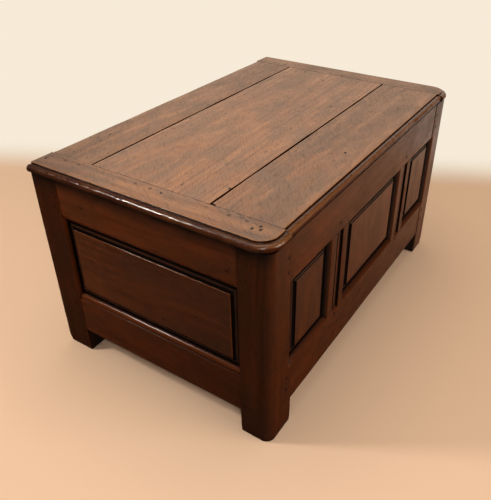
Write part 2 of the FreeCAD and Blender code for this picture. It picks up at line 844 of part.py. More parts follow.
def hinge_strap(label, side):
    """The moving leaf: one knuckle and a tapered strap with a round tip under the lid."""
    body = new_body(label)
    centre = HINGE_X * side
    root = S.strap_width / 2
    tip = S.strap_tip_width / 2
    tip_y = BACK_JOINT_Y - S.strap_reach
    corners = [
        Corner(centre - root, AXIS_Y),
        Corner(centre - tip, tip_y, (centre, tip_y), True, "v"),
        Corner(centre + tip, tip_y),
        Corner(centre + root, AXIS_Y),
    ]
    pad(body, outline(body, "XY_Plane", corners, STRAP_LOW), S.strap_thickness)
    rod(body, S.knuckle_radius, S.strap_width, (centre - root, AXIS_Y, AXIS_Z), "x")
    bore_radius = S.pin_radius + S.pin_play
    rod(body, bore_radius, S.strap_width, (centre - root, AXIS_Y, AXIS_Z), "x", cut=True)
    for y in (*strap_nails()["back"], *strap_nails()["middle"]):
        rod(body, NAIL_HOLE_RADIUS, S.strap_thickness, (centre, y, STRAP_LOW), "z", cut=True)


def nail(place, turn):
    """A nail with a faceted crown: its shank runs along the turned +Z from place, its head the other way."""
    head = doc.addObject("Part::Cone", "NailHead")
    head.Placement = Placement(Vector(), turn.multiply(Rotation(Vector(1, 0, 0), 180)))
    bind(head, "Radius1", S.nail_head_radius)
    bind(head, "Radius2", S.nail_crown_radius)
    bind(head, "Height", S.nail_head_height)
    shank = doc.addObject("Part::Cylinder", "NailShank")
    shank.Placement = Placement(Vector(), turn)
    bind(shank, "Radius", S.nail_radius)
    bind(shank, "Height", S.nail_length)
    put(head, place)
    put(shank, place)
    whole = doc.addObject("Part::MultiFuse", "Nail")
    whole.Shapes = [head, shank]
    return whole


def hinge_nails():
    """The nails of the back plates and of the straps, one node for each kind."""
    into_rail = Rotation(Vector(1, 0, 0), 90)
    plate, strap = [], []
    for side in SIDES:
        centre = HINGE_X * side
        for x, z in plate_nails():
            plate.append(nail((centre + x, PLATE_SEAT_Y + S.plate_thickness, z), into_rail))
        for y in (*strap_nails()["back"], *strap_nails()["middle"]):
            strap.append(nail((centre, y, STRAP_LOW), Rotation()))
    group("hinge_plate_nails", plate)
    group("hinge_strap_nails", strap)


# The whole coffer


def build():
    """Makes every piece of the coffer in the document."""
    for end, side_x in (("left", -1), ("right", 1)):
        post(f"front_post_{end}", side_x, -1)
        post(f"back_post_{end}", side_x, 1)
    for wall in (FRONT, BACK, LEFT, RIGHT):
        bottom_rail(wall)
        top_rail(wall)
        wall_pegs(wall)
    muntin_near = S.muntin_centre - S.muntin_width / 2
    muntin_far = S.muntin_centre + S.muntin_width / 2
    for wall in (FRONT, BACK):
        # Seen from outside, the back wall's own x runs the other way.
        names = ("left", "right") if wall is FRONT else ("right", "left")
        for side, end in zip(SIDES, names):
            muntin(wall, f"{wall.name}_muntin_{end}", side)
            panel(wall, f"{wall.name}_panel_{end}", *span(side, muntin_far, wall.half_span))
        panel(wall, f"{wall.name}_panel_centre", -muntin_near, muntin_near)
    for wall in (LEFT, RIGHT):
        panel(wall, f"{wall.name}_end_panel", -wall.half_span, wall.half_span)
    for number in range(FLOOR_BOARDS):
        floor_board(number)
    lid_planks()
    for end, side in (("left", -1), ("right", 1)):
        lid_cleat(f"lid_cleat_{end}", side)
        hinge_plate(f"hinge_plate_{end}", side)
        hinge_pin(f"hinge_pin_{end}", side)
        hinge_strap(f"hinge_strap_{end}", side)
    lid_pegs()
    hinge_nails()
    doc.recompute()


def check():
    """Stops with a plain message if any feature failed or any node isn't made of sound solids."""
    for item in doc.Objects:
        if "Invalid" in item.State or "Error" in item.State:
            raise RuntimeError(f"{item.Label} failed: {item.State}")
    for node in nodes:
        shape = node.Shape
        if shape.isNull() or not shape.isValid():
            raise RuntimeError(f"{node.Label} has no sound shape")
        expected = len(node.Links) if node.TypeId == "Part::Compound" else 1
        if len(shape.Solids) != expected:
            raise RuntimeError(f"{node.Label} has {len(shape.Solids)} solids, not {expected}")


def write():
    """Writes each node's shape to its own file."""
    os.makedirs("parts", exist_ok=True)
    for node in nodes:
        node.Shape.exportStep(f"parts/{node.Label}.step")
    print(f"{len(nodes)} nodes written")


build()
check()
write()
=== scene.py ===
"""Looks of a small joined oak coffer: hand-planed boards, pegs and forged hinges, worn by long use.

Every piece starts as a copy of the solid that the frame gives, so its joints and its place are the real
ones. The copy then gets rubbed edges, uneven planed faces, cracks and chips, and a procedural finish that
follows the grain of its own board. Lengths are in metres unless a name ends in _mm.
"""

import logging
import math
import random
from dataclasses import dataclass, field, replace
from enum import Enum, IntEnum
from functools import partial
from typing import Any, Callable, Iterable, Iterator, Optional, Union

import bmesh
import bpy
from bmesh.types import BMEdge, BMesh, BMFace, BMVert
from bpy.types import Material, NodeSocket, NodeTree, Object, World
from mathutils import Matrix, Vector, noise
from mathutils.bvhtree import BVHTree


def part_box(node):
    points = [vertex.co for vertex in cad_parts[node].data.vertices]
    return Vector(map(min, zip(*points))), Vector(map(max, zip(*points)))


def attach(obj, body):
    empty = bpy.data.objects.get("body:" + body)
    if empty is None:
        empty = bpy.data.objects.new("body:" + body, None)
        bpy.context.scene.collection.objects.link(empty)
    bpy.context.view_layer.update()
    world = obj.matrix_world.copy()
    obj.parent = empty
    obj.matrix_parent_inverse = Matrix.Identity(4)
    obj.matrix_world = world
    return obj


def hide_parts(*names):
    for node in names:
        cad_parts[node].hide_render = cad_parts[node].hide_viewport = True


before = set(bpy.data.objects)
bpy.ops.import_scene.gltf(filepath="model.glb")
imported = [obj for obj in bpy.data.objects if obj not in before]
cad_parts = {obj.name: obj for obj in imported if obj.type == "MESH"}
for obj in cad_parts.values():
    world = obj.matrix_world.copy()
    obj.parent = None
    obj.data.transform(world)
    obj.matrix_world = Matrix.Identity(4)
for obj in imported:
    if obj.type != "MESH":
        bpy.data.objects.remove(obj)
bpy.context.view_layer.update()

log = logging.getLogger("coffer")

MM = 0.001

UP, DOWN = Vector((0, 0, 1)), Vector((0, 0, -1))
LEFT, RIGHT = Vector((-1, 0, 0)), Vector((1, 0, 0))
FRONT, BACK = Vector((0, -1, 0)), Vector((0, 1, 0))

# How black the wax in a joint is, which is also the darkest painted shade, and up to which dryness a face
# counts as waxed
FILTH = 0.95
HALF_DRY = 0.5

# The cosine from which on a face counts as one that looks in a direction
FACING = 0.6

# Points closer than this are one, faces flatter than this are one, and a cut passes as close as this
WELD, FLAT, CLOSE = 0.002 * MM, math.radians(0.3), 0.001 * MM

# Node settings that come back: a Mix of colours and its sockets, a Map Range with soft ends, and sums
BLEND = {"out": 2, "data_type": "RGBA"}
MIX_A, MIX_B = 6, 7
FADE = {"interpolation_type": "SMOOTHSTEP"}
TIMES = {"operation": "MULTIPLY"}
TIMES_PLUS = {"operation": "MULTIPLY_ADD"}
SCALE = {"operation": "SCALE"}

Put = Callable[..., NodeSocket]
Sizes = tuple[float, ...]


def linear(hex_colour: str) -> tuple[float, float, float, float]:
    """Turns an sRGB hex colour into linear light.

    Args:
        hex_colour: the colour as "#rrggbb".

    Returns:
        Red, green, blue and an alpha of 1.
    """
    channels = [int(hex_colour[i : i + 2], 16) / 255 for i in (1, 3, 5)]
    light = [c / 12.92 if c <= 0.04045 else ((c + 0.055) / 1.055) ** 2.4 for c in channels]
    return (*light, 1.0)


def blank(owner: Union[Material, World]) -> NodeTree:
    """Empties the node tree of a new material or world.

    Args:
        owner: the material or world.

    Returns:
        Its tree.
    """
    owner.use_nodes = True
    owner.node_tree.nodes.clear()
    return owner.node_tree


def add(
    tree: NodeTree,
    kind: str,
    inputs: Optional[dict[Union[int, str], Any]] = None,
    out: Union[int, str] = 0,
    **settings: Any,
) -> Optional[NodeSocket]:
    """Adds one node to a tree.

    Args:
        tree: the node tree.
        kind: the node's type, after the word ShaderNode.
        inputs: values for its sockets, or the sockets to link to them.
        out: the output that is wanted.
        settings: properties of the node itself.

    Returns:
        That output, or nothing for the node that ends a tree.
    """
    node = tree.nodes.new("ShaderNode" + kind)
    for name, value in settings.items():
        setattr(node, name, value)
    for name, value in (inputs or {}).items():
        if isinstance(value, NodeSocket):
            tree.links.new(value, node.inputs[name])
        else:
            node.inputs[name].default_value = value
    return node.outputs[out] if node.outputs else None


# Finishes


@dataclass(frozen=True)
class Coat:
    """A finish; each kind says what its Principled shader takes."""

    name: str

    def material(self) -> Material:
        """Builds the material from its real sizes.

        Returns:
            The finished material.
        """
        made = bpy.data.materials.new(self.name)
        put = partial(add, blank(made))
        put("OutputMaterial", {"Surface": put("BsdfPrincipled", self.looks(put))})
        return made

    def looks(self, put: Put) -> dict[str, Any]:
        """What the shader takes, by the names of its sockets."""
        return {}


@dataclass(frozen=True)
class AgedOak(Coat):
    """Old oak, planed by hand and darkened by age and wax.

    The eye sees a satin brown with faint bands along the growth rings, short dark streaks of open pores,
    soft grey patches, small dents and worm holes, rubbed edges, black dirt in joints and painted shade in
    the corners. A handled rim is darker and glossier. Sides that were never waxed are grey-brown and dull.
    """

    late: str
    early: str
    patch: str
    worn: str
    rim: str = "#4a2410"
    dry: str = "#5d4a38"
    grime_and_shade: str = "#0c0503"
    roughness: float = 0.34
    rim_roughness: float = 0.16
    worn_roughness: float = 0.18
    dry_roughness: float = 0.85
    grime_and_shade_roughness: float = 0.5
    harm: float = 0.12
    rim_harm: float = 0.04
    worn_share: float = 0.4
    rim_worn: float = 0.16
    shine: float = 0.4
    ring_mm: float = 6.0
    ring_run_mm: float = 300.0
    ring_drift_mm: float = 60.0
    ring_bend_mm: float = 16.0
    log_taper: float = 0.02
    streak_mm: float = 2.8
    streak_run_mm: float = 34.0
    streak_depth: float = 0.45
    bare_streak_depth: float = 0.4
    fleck_mm: float = 3.0
    fleck_run_mm: float = 18.0
    fleck_turn: float = -0.6
    fleck_share: float = 0.7
    patch_mm: float = 52.0
    patch_share: float = 0.7
    mark_mm: float = 26.0
    mark_dirt: float = 0.75
    ripple_mm: float = 48.0
    knock_mm: float = 11.0
    shade_reach_mm: float = 13.0

    def looks(self, put: Put) -> dict[str, Any]:
        """Reads the board's layers and draws its patterns.

        Args:
            put: adds a node to the tree.

        Returns:
            The shader's inputs.
        """
        layers = ("rim", "dry", "wear", "grime_and_shade", "tone")
        at = {name: put("Attribute", out="Fac", attribute_name=name) for name in layers}
        # Millimetres along the grain, across it and away from the heart of the log
        at["grain"] = put("Attribute", out="Vector", attribute_name="grain")
        for pattern in (self.rings, self.streaks, self.patches, self.marks):
            at[pattern.__name__] = pattern(put, at["grain"])
        return {
            "Base Color": self.colour(put, at),
            "Roughness": self.dullness(put, at),
            "Specular IOR Level": self.shine,
            "Normal": self.relief(put, at),
        }

    def rings(self, put: Put, grain: NodeSocket) -> NodeSocket:
        """Bands of growth rings about the heart of the log, drawn out along the board.

        Args:
            put: adds a node to the tree.
            grain: the place in the log.

        Returns:
            A socket from 0 in late wood to 1 in early wood.
        """
        slow = put("VectorMath", {0: grain, 1: (0.25, 1, 1)}, **TIMES)
        drift = {"Vector": slow, "Scale": 1 / self.ring_drift_mm, "Detail": 2.0}
        cloud = put("TexNoise", drift, "Color")
        sway = put("VectorMath", {0: cloud, 1: (0.5, 0.5, 0.5)}, operation="SUBTRACT")
        bend = (0, self.ring_bend_mm, self.ring_bend_mm)
        bent = put("VectorMath", {0: sway, 1: bend, 2: grain}, **TIMES_PLUS)
        along, across, through = put("SeparateXYZ", {0: bent}).node.outputs
        flat = put("CombineXYZ", {1: across, 2: through})
        radius = put("VectorMath", {0: flat}, "Value", operation="LENGTH")
        # A log tapers, so that rings run out along a sawn board.
        taper = put("Math", {0: along, 1: self.log_taper, 2: radius}, **TIMES_PLUS)
        ring = put("Math", {0: taper, 1: 1 / self.ring_mm}, **TIMES)
        run = put("Math", {0: along, 1: 1 / self.ring_run_mm}, **TIMES)
        place = put("CombineXYZ", {0: run, 1: ring})
        bands = put("TexNoise", {"Vector": place, "Scale": 1.0, "Detail": 3.0})
        return put("MapRange", {0: bands, 1: 0.25, 2: 0.75})

    def streaks(self, put: Put, grain: NodeSocket) -> NodeSocket:
        """Short dark streaks of open pores, and fainter flecks of the rays that cross them.

        Pores are a few tenths of a millimetre wide, too fine to show, so they are drawn as bundles.

        Args:
            put: adds a node to the tree.
            grain: the place in the log.

        Returns:
            A socket that is 1 in a streak and less in a fleck.
        """
        turn = {"Vector": grain, "Angle": self.fleck_turn}
        turned = put("VectorRotate", turn, rotation_type="Z_AXIS")
        fibres = []
        for way, run, wide, detail in (
            (grain, self.streak_run_mm, self.streak_mm, {"Detail": 3.0, "Roughness": 0.65}),
            (turned, self.fleck_run_mm, self.fleck_mm, {"Detail": 2.0}),
        ):
            place = put("VectorMath", {0: way, 1: (1 / run, 1 / wide, 1 / wide)}, **TIMES)
            fibres.append(put("TexNoise", {"Vector": place, "Scale": 1.0, **detail}))
        pores = put("MapRange", {0: fibres[0], 1: 0.52, 2: 0.74}, **FADE)
        flecks = put("MapRange", {0: fibres[1], 1: 0.5, 2: 0.7, 4: self.fleck_share})
        return put("Math", {0: pores, 1: flecks}, operation="MAXIMUM")

    def patches(self, put: Put, grain: NodeSocket) -> NodeSocket:
        """Soft patches where the polish has dulled.

        Args:
            put: adds a node to the tree.
            grain: the place in the log.

        Returns:
            A socket that is 1 in a dull patch.
        """
        place = put("VectorMath", {0: grain, 1: (0.55, 1, 1)}, **TIMES)
        cloud = {"Vector": place, "Scale": 1 / self.patch_mm, "Detail": 5.0, "Roughness": 0.65}
        return put("MapRange", {0: put("TexNoise", cloud), 1: 0.36, 2: 0.66}, **FADE)

    def marks(self, put: Put, grain: NodeSocket) -> NodeSocket:
        """Small dents, knots and worm holes, a little longer along the grain.

        Args:
            put: adds a node to the tree.
            grain: the place in the log.

        Returns:
            A socket that is 1 in a mark.
        """
        squeeze = (0.6 / self.mark_mm, 1 / self.mark_mm, 1 / self.mark_mm)
        place = put("VectorMath", {0: grain, 1: squeeze}, **TIMES)
        cells = put("TexVoronoi", {"Vector": place, "Scale": 1.0}).node.outputs
        near = put("MapRange", {0: cells["Distance"], 1: 0.19, 2: 0.06})
        chance = put("SeparateColor", {0: cells["Color"]})
        kept = put("MapRange", {0: chance, 1: 0.68, 2: 0.95})
        return put("Math", {0: near, 1: kept}, **TIMES)

    def colour(self, put: Put, at: dict[str, NodeSocket]) -> NodeSocket:
        """Waxed wood, with rubbed edges, bare sides, grime in joints and marks, and painted shade in corners,
        recesses and under the lid.

        Args:
            put: adds a node to the tree.
            at: the board's layers and patterns.

        Returns:
            A colour socket.
        """
        wood = {0: at["rings"], MIX_A: linear(self.late), MIX_B: linear(self.early)}
        wood = put("Mix", wood, **BLEND)
        dull = put("Math", {0: at["patches"], 1: self.patch_share}, **TIMES)
        wood = put("Mix", {0: dull, MIX_A: wood, MIX_B: linear(self.patch)}, **BLEND)
        bared = put("Math", {0: at["patches"], 1: self.rim_worn}, **TIMES)
        nose = put("Mix", {0: bared, MIX_A: linear(self.rim), MIX_B: linear(self.worn)}, **BLEND)
        wood = put("Mix", {0: at["rim"], MIX_A: wood, MIX_B: nose}, **BLEND)
        pores = put("Math", {0: at["streaks"], 1: -self.streak_depth, 2: 1.0}, **TIMES_PLUS)
        lighter = put("Math", {0: at["tone"], 1: 1.0}, operation="ADD")
        level = put("Math", {0: pores, 1: lighter}, **TIMES)
        wood = put("VectorMath", {0: wood, "Scale": level}, **SCALE)
        pitted = put("Math", {0: at["marks"], 1: self.mark_dirt}, **TIMES)
        wood = put("Mix", {0: pitted, MIX_A: wood, MIX_B: linear(self.grime_and_shade)}, **BLEND)
        rubbed = put("Math", {0: at["wear"], 1: self.worn_share}, **TIMES)
        wood = put("Mix", {0: rubbed, MIX_A: wood, MIX_B: linear(self.worn)}, **BLEND)
        fibre = put("Math", {0: at["streaks"], 1: -self.bare_streak_depth, 2: 1.0}, **TIMES_PLUS)
        bare = put("VectorMath", {0: linear(self.dry)[:3], "Scale": fibre}, **SCALE)
        wood = put("Mix", {0: at["dry"], MIX_A: wood, MIX_B: bare}, **BLEND)
        # Painted shade: an occlusion node darkens corners, creases and recesses towards the black of grime.
        reach = {"Distance": self.shade_reach_mm * MM}
        light = put("AmbientOcclusion", reach, "AO", samples=8)
        corner = put("MapRange", {0: light, 1: 0.8, 2: 0.46}, **FADE)
        # The painted corner shade is weaker on bare wood.
        waxed = put("Math", {0: at["dry"], 1: -0.6, 2: 0.92}, **TIMES_PLUS)
        painted_shade = put("Math", {0: corner, 1: waxed}, **TIMES)
        dark = put("Math", {0: painted_shade, 1: at["grime_and_shade"]}, operation="MAXIMUM")
        return put("Mix", {0: dark, MIX_A: wood, MIX_B: linear(self.grime_and_shade)}, **BLEND)

    def dullness(self, put: Put, at: dict[str, NodeSocket]) -> NodeSocket:
        """Glossy on the rim and on rubbed edges, duller in patches and pores, dull where bare, dirty or
        painted with shade.

        Args:
            put: adds a node to the tree.
            at: the board's layers and patterns.

        Returns:
            A roughness socket.
        """
        waxed = put("MapRange", {0: at["rim"], 3: self.roughness, 4: self.rim_roughness})
        grey = put("Math", {0: at["patches"], 1: at["streaks"]}, operation="ADD")
        harm = put("MapRange", {0: at["rim"], 3: self.harm, 4: self.rim_harm})
        rough = put("Math", {0: grey, 1: harm, 2: waxed}, **TIMES_PLUS)
        own = {"wear": self.worn_roughness, "dry": self.dry_roughness, "grime_and_shade": self.grime_and_shade_roughness}
        for layer, level in own.items():
            rough = put("Mix", {0: at[layer], 2: rough, 3: level})
        return rough

    def relief(self, put: Put, at: dict[str, NodeSocket]) -> NodeSocket:
        """Shallow relief: ripples left by the plane, knocks, open pores and dents.

        Args:
            put: adds a node to the tree.
            at: the board's layers and patterns.

        Returns:
            A normal socket.
        """
        below = {}
        for wave_mm, depth_mm in ((self.ripple_mm, 1.0), (self.knock_mm, 0.3)):
            stretch = (0.45 / wave_mm, 1 / wave_mm, 1 / wave_mm)
            place = put("VectorMath", {0: at["grain"], 1: stretch}, **TIMES)
            ripple = put("TexNoise", {"Vector": place, "Scale": 1.0, "Detail": 2.0})
            bump = {"Strength": 0.5, "Distance": depth_mm * MM, "Height": ripple, **below}
            below = {"Normal": put("Bump", bump)}
        for hollow, strength, depth_mm in (("streaks", 0.3, 0.3), ("marks", 0.5, 0.8)):
            bump = {"Strength": strength, "Distance": depth_mm * MM, "Height": at[hollow], **below}
            below = {"Normal": put("Bump", bump, invert=True)}
        return below["Normal"]


@dataclass(frozen=True)
class ShadeAndWaxBlack(Coat):
    """A dead black that hides the grain, painted in gaps and corners as shade together with old caked wax and
    dust.
    """

    name: str = "shade_and_wax_black"
    colour: str = "#0c0503"
    roughness: float = 0.9
    shine: float = 0.05

    def looks(self, put: Put) -> dict[str, Any]:
        """The same all over."""
        colour = linear(self.colour)
        return {"Base Color": colour, "Roughness": self.roughness, "Specular IOR Level": self.shine}


@dataclass(frozen=True)
class ForgedIron(Coat):
    """Wrought iron, hammered, blackened by fire scale and touched by rust: dark, uneven and half dull."""

    name: str = "wrought_iron_forged"
    scale: str = "#2a2827"
    bright: str = "#4a4745"
    rust: str = "#4a2a18"
    hammer_mm: float = 7.0
    dent_mm: float = 0.5
    rust_mm: float = 16.0
    roughness: float = 0.45
    rust_roughness: float = 0.8
    metal: float = 0.85

    def looks(self, put: Put) -> dict[str, Any]:
        """Hammer dents, bright at their edges, and clouds of rust.

        Args:
            put: adds a node to the tree.

        Returns:
            The shader's inputs.
        """
        place = put("TexCoord", out="Object")
        cells = {"Vector": place, "Scale": 1 / (self.hammer_mm * MM)}
        dents = put("TexVoronoi", cells, "Distance", feature="SMOOTH_F1")
        cloud = {"Vector": place, "Scale": 1 / (self.rust_mm * MM), "Detail": 5.0}
        rusty = put("MapRange", {0: put("TexNoise", cloud), 1: 0.5, 2: 0.66})
        iron = put("Mix", {0: dents, MIX_A: linear(self.bright), MIX_B: linear(self.scale)}, **BLEND)
        bump = {"Strength": 0.4, "Distance": self.dent_mm * MM, "Height": dents}
        return {
            "Base Color": put("Mix", {0: rusty, MIX_A: iron, MIX_B: linear(self.rust)}, **BLEND),
            "Roughness": put("MapRange", {0: rusty, 3: self.roughness, 4: self.rust_roughness}),
            "Metallic": self.metal,
            "Normal": put("Bump", bump),
        }


LID_OAK = AgedOak(
    "aged_oak_lid", late="#764e38", early="#ad7a57", patch="#7a6354", worn="#a0642e", rim="#3f1a0a",
    roughness=0.36, worn_roughness=0.34, worn_share=0.6, shine=0.62,
    streak_mm=2.4, streak_run_mm=20.0, streak_depth=0.42, mark_mm=20.0, knock_mm=6.0,
)
FRAME_OAK = AgedOak(
    "aged_oak_frame", late="#471f0a", early="#652f11", patch="#49240e", worn="#7c3d18", dry="#36281c",
    roughness=0.3, worn_share=0.22, shine=0.3, shade_reach_mm=9.0,
)
PANEL_OAK = AgedOak(
    "aged_oak_panel", late="#41200e", early="#5f2f15", patch="#482613", worn="#7a4422", dry="#36281c",
    roughness=0.3, shade_reach_mm=7.0,
)
FLOOR_OAK = AgedOak(
    "bare_oak_floor", late="#4a3524", early="#7a5c42", patch="#5f4c3a", worn="#86684c", dry="#6f5840"
)
LID_PEG_OAK = AgedOak("oak_peg_lid", late="#54351f", early="#765035", patch="#624634", worn="#805a3e")
CASE_PEG_OAK = AgedOak(
    "oak_peg_case", late="#2c1408", early="#42200e", patch="#33190b", worn="#4c2612", grime_and_shade="#1c0c05",
    shine=0.3,
)
SHADE_AND_WAX_BLACK = ShadeAndWaxBlack().material()
# Low edges, where the wax is gone and with it the shine
DULL_OAK = replace(FRAME_OAK, name="dull_oak_frame", shine=0.06).material()


class Stock(Enum):
    """What a piece is made of: a slot name and the finish."""

    LID = ("oak_lid", LID_OAK.material())
    FRAME = ("oak_frame", FRAME_OAK.material())
    PANEL = ("oak_panel", PANEL_OAK.material())
    FLOOR = ("oak_floor", FLOOR_OAK.material())
    LID_PEG = ("oak_peg", LID_PEG_OAK.material())
    CASE_PEG = ("oak_peg", CASE_PEG_OAK.material())
    IRON = ("wrought_iron", ForgedIron().material())


class Finish(IntEnum):
    """What covers a face of a piece: its own finish or one of two that it shares with others."""

    OWN = 0
    SHADE_AND_WAX = 1
    DULL = 2


class Grain(Enum):
    """How a board lies: the axes along its grain, across it and through its thickness."""

    PLANK = (0, 1, 2)
    LONG_RAIL = (0, 2, 1)
    CROSS_PLANK = (1, 0, 2)
    END_RAIL = (1, 2, 0)
    UPRIGHT = (2, 0, 1)


# Shaping


def from_frame(node: str) -> BMesh:
    """Copies a solid of the frame, with its triangles joined up into flat faces.

    Args:
        node: the solid's name.

    Returns:
        A new mesh that the caller frees.
    """
    bm = bmesh.new()
    bm.from_mesh(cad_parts[node].data)
    bmesh.ops.remove_doubles(bm, verts=bm.verts, dist=WELD)
    bmesh.ops.dissolve_limit(bm, angle_limit=FLAT, verts=bm.verts, edges=bm.edges)
    return bm


def reach(face: BMFace, edge: BMEdge) -> float:
    """How far a face runs back from one of its edges.

    Args:
        face: the face.
        edge: the edge.

    Returns:
        The distance.
    """
    start = edge.verts[0].co
    along = (edge.verts[1].co - start).normalized()
    offsets = [v.co - start for v in face.verts]
    return max((o - along * o.dot(along)).length for o in offsets)


def drift(place: Vector, wave: float, middle: float, swing: float) -> float:
    """A share that drifts about a middle value from place to place, in waves of a length."""
    return middle + swing * noise.noise(place / wave)


@dataclass
class Joints:
    """Tells an edge that is open to hands from one that lies in a joint with another piece."""

    near: float = 2.6 * MM
    trees: dict[str, BVHTree] = field(default_factory=dict)

    def __post_init__(self) -> None:
        """Reads the surface of every solid of the frame."""
        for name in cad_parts:
            bm = from_frame(name)
            self.trees[name] = BVHTree.FromBMesh(bm)
            bm.free()

    def touches(self, node: str, place: Vector) -> bool:
        """Whether another solid lies close to a place on this one."""
        others = (tree for name, tree in self.trees.items() if name != node)
        return any(tree.find_nearest(place, self.near)[0] is not None for tree in others)


JOINTS = Joints()


@dataclass
class Piece:
    """A copy of one solid of the frame, which is worked on and then stands for it."""

    node: str
    body: str
    stock: Stock

    def __post_init__(self) -> None:
        """Copies the solid and starts the piece's own random numbers."""
        self.bm = from_frame(self.node)
        self.seed = random.Random(self.node)

    def layers(self, *names: str) -> list[Any]:
        """Layers with one number for each face, made where they aren't there."""
        numbers = self.bm.faces.layers.float
        return [numbers.get(name) or numbers.new(name) for name in names]

    def faces(self) -> Iterator[tuple[BMFace, Vector]]:
        """Every face with its middle, one by one."""
        return ((face, face.calc_center_median()) for face in self.bm.faces)

    def span(self, way: Vector) -> tuple[float, float]:
        """The least and the greatest reach of the mesh in a direction."""
        places = [v.co.dot(way) for v in self.bm.verts]
        return min(places), max(places)

    def outer_edges(self, width: float, room: float) -> list[BMEdge]:
        """The sharp outer edges that hands and brushes rub.

        Args:
            width: how wide the rubbed edge will be.
            room: how many times that width a face has to run back from the edge.

        Returns:
            The edges, without short ones, as on peg holes.
        """
        shortest, sharp = 3 * MM, math.radians(40)
        found = []
        for edge in self.bm.edges:
            if len(edge.link_faces) != 2 or edge.calc_length() < shortest:
                continue
            if edge.calc_face_angle_signed(0.0) < sharp:
                continue
            if min(reach(face, edge) for face in edge.link_faces) > room * width:
                found.append(edge)
        return found

    def rub(self, width: float, filth: float = FILTH, room: float = 2.4) -> None:
        """Rounds the outer edges: open ones are marked as worn, and those in a joint as filled with grime.

        Args:
            width: the width of the rounding.
            filth: how much grime an edge in a joint holds.
            room: how many times the width a face has to run back from an edge that is rounded.
        """
        wear, grime_and_shade = self.layers("wear", "grime_and_shade")
        made = bmesh.ops.bevel(
            self.bm, geom=self.outer_edges(width, room), offset=width, offset_type="OFFSET", affect="EDGES",
            segments=3, profile=0.5, material=-1, clamp_overlap=False, loop_slide=True,
        )
        for face in made["faces"]:
            joint = JOINTS.touches(self.node, face.calc_center_median())
            face[wear] = 0.0 if joint else 1.0
            face[grime_and_shade] = filth if joint else 0.0

    def slice_up(self, normal: Vector, places: Iterable[float]) -> None:
        """Cuts the faces along parallel planes, so that the points lie close enough to be moved.

        Args:
            normal: the planes' normal.
            places: the planes' distances from the origin along the normal.
        """
        for place in places:
            cut = {"plane_co": normal * place, "plane_no": normal, "dist": CLOSE}
            bmesh.ops.bisect_plane(self.bm, geom=[*self.bm.verts, *self.bm.edges, *self.bm.faces], **cut)

    def slice_evenly(self, steps: tuple[float, float, float]) -> None:
        """Cuts the mesh into a grid.

        Args:
            steps: about how far apart the cuts are along each axis.
        """
        for normal, step in zip((RIGHT, BACK, UP), steps):
            low, high = self.span(normal)
            count = int((high - low) / step)
            gap = (high - low) / (count + 1)
            self.slice_up(normal, [low + gap * (i + 1) for i in range(count)])

    def own_shift(self) -> Vector:
        """A place in the noise that belongs to this piece."""
        return Vector([self.seed.uniform(0, 50) for _ in range(3)])

    def uneven(
        self, depth: float, wave: float, shift: Vector, where: Callable[[BMVert], bool] = lambda vert: True
    ) -> None:
        """Sinks the faces by soft waves, as a hand plane and long wear leave them, and never raises them.

        Args:
            depth: the deepest hollow.
            wave: the length of a wave.
            shift: a place in the noise.
            where: picks the points that sink.
        """
        self.bm.normal_update()
        for vert in filter(where, list(self.bm.verts)):
            sunk = 0.5 + 0.5 * noise.noise(vert.co / wave + shift)
            vert.co -= vert.normal * depth * max(0.0, min(1.0, sunk))

    def hand_in(self, ending: str, smooth_deg: float = 35) -> None:
        """Turns the mesh into a finished piece.

        Args:
            ending: the last word of the piece's name.
            smooth_deg: edges flatter than this are shaded smooth.
        """
        name = f"{self.node}_{ending}"
        slot, material = self.stock.value
        bmesh.ops.triangulate(self.bm, faces=[f for f in self.bm.faces if len(f.verts) > 4])
        (finish,) = self.layers("finish")
        for face in self.bm.faces:
            face.smooth = True
            face.material_index = int(face[finish])
        used = max(face.material_index for face in self.bm.faces) + 1
        mesh = bpy.data.meshes.new(name)
        self.bm.to_mesh(mesh)
        self.bm.free()
        if "custom_normal" in mesh.attributes:
            mesh.attributes.remove(mesh.attributes["custom_normal"])
        mesh.set_sharp_from_angle(angle=math.radians(smooth_deg))
        for covering in (material, SHADE_AND_WAX_BLACK, DULL_OAK)[:used]:
            mesh.materials.append(covering)
        piece = bpy.data.objects.new(name, mesh)
        bpy.context.scene.collection.objects.link(piece)
        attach(piece, self.body)
        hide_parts(self.node)
        log.info("%s: %d faces", name, len(mesh.polygons))


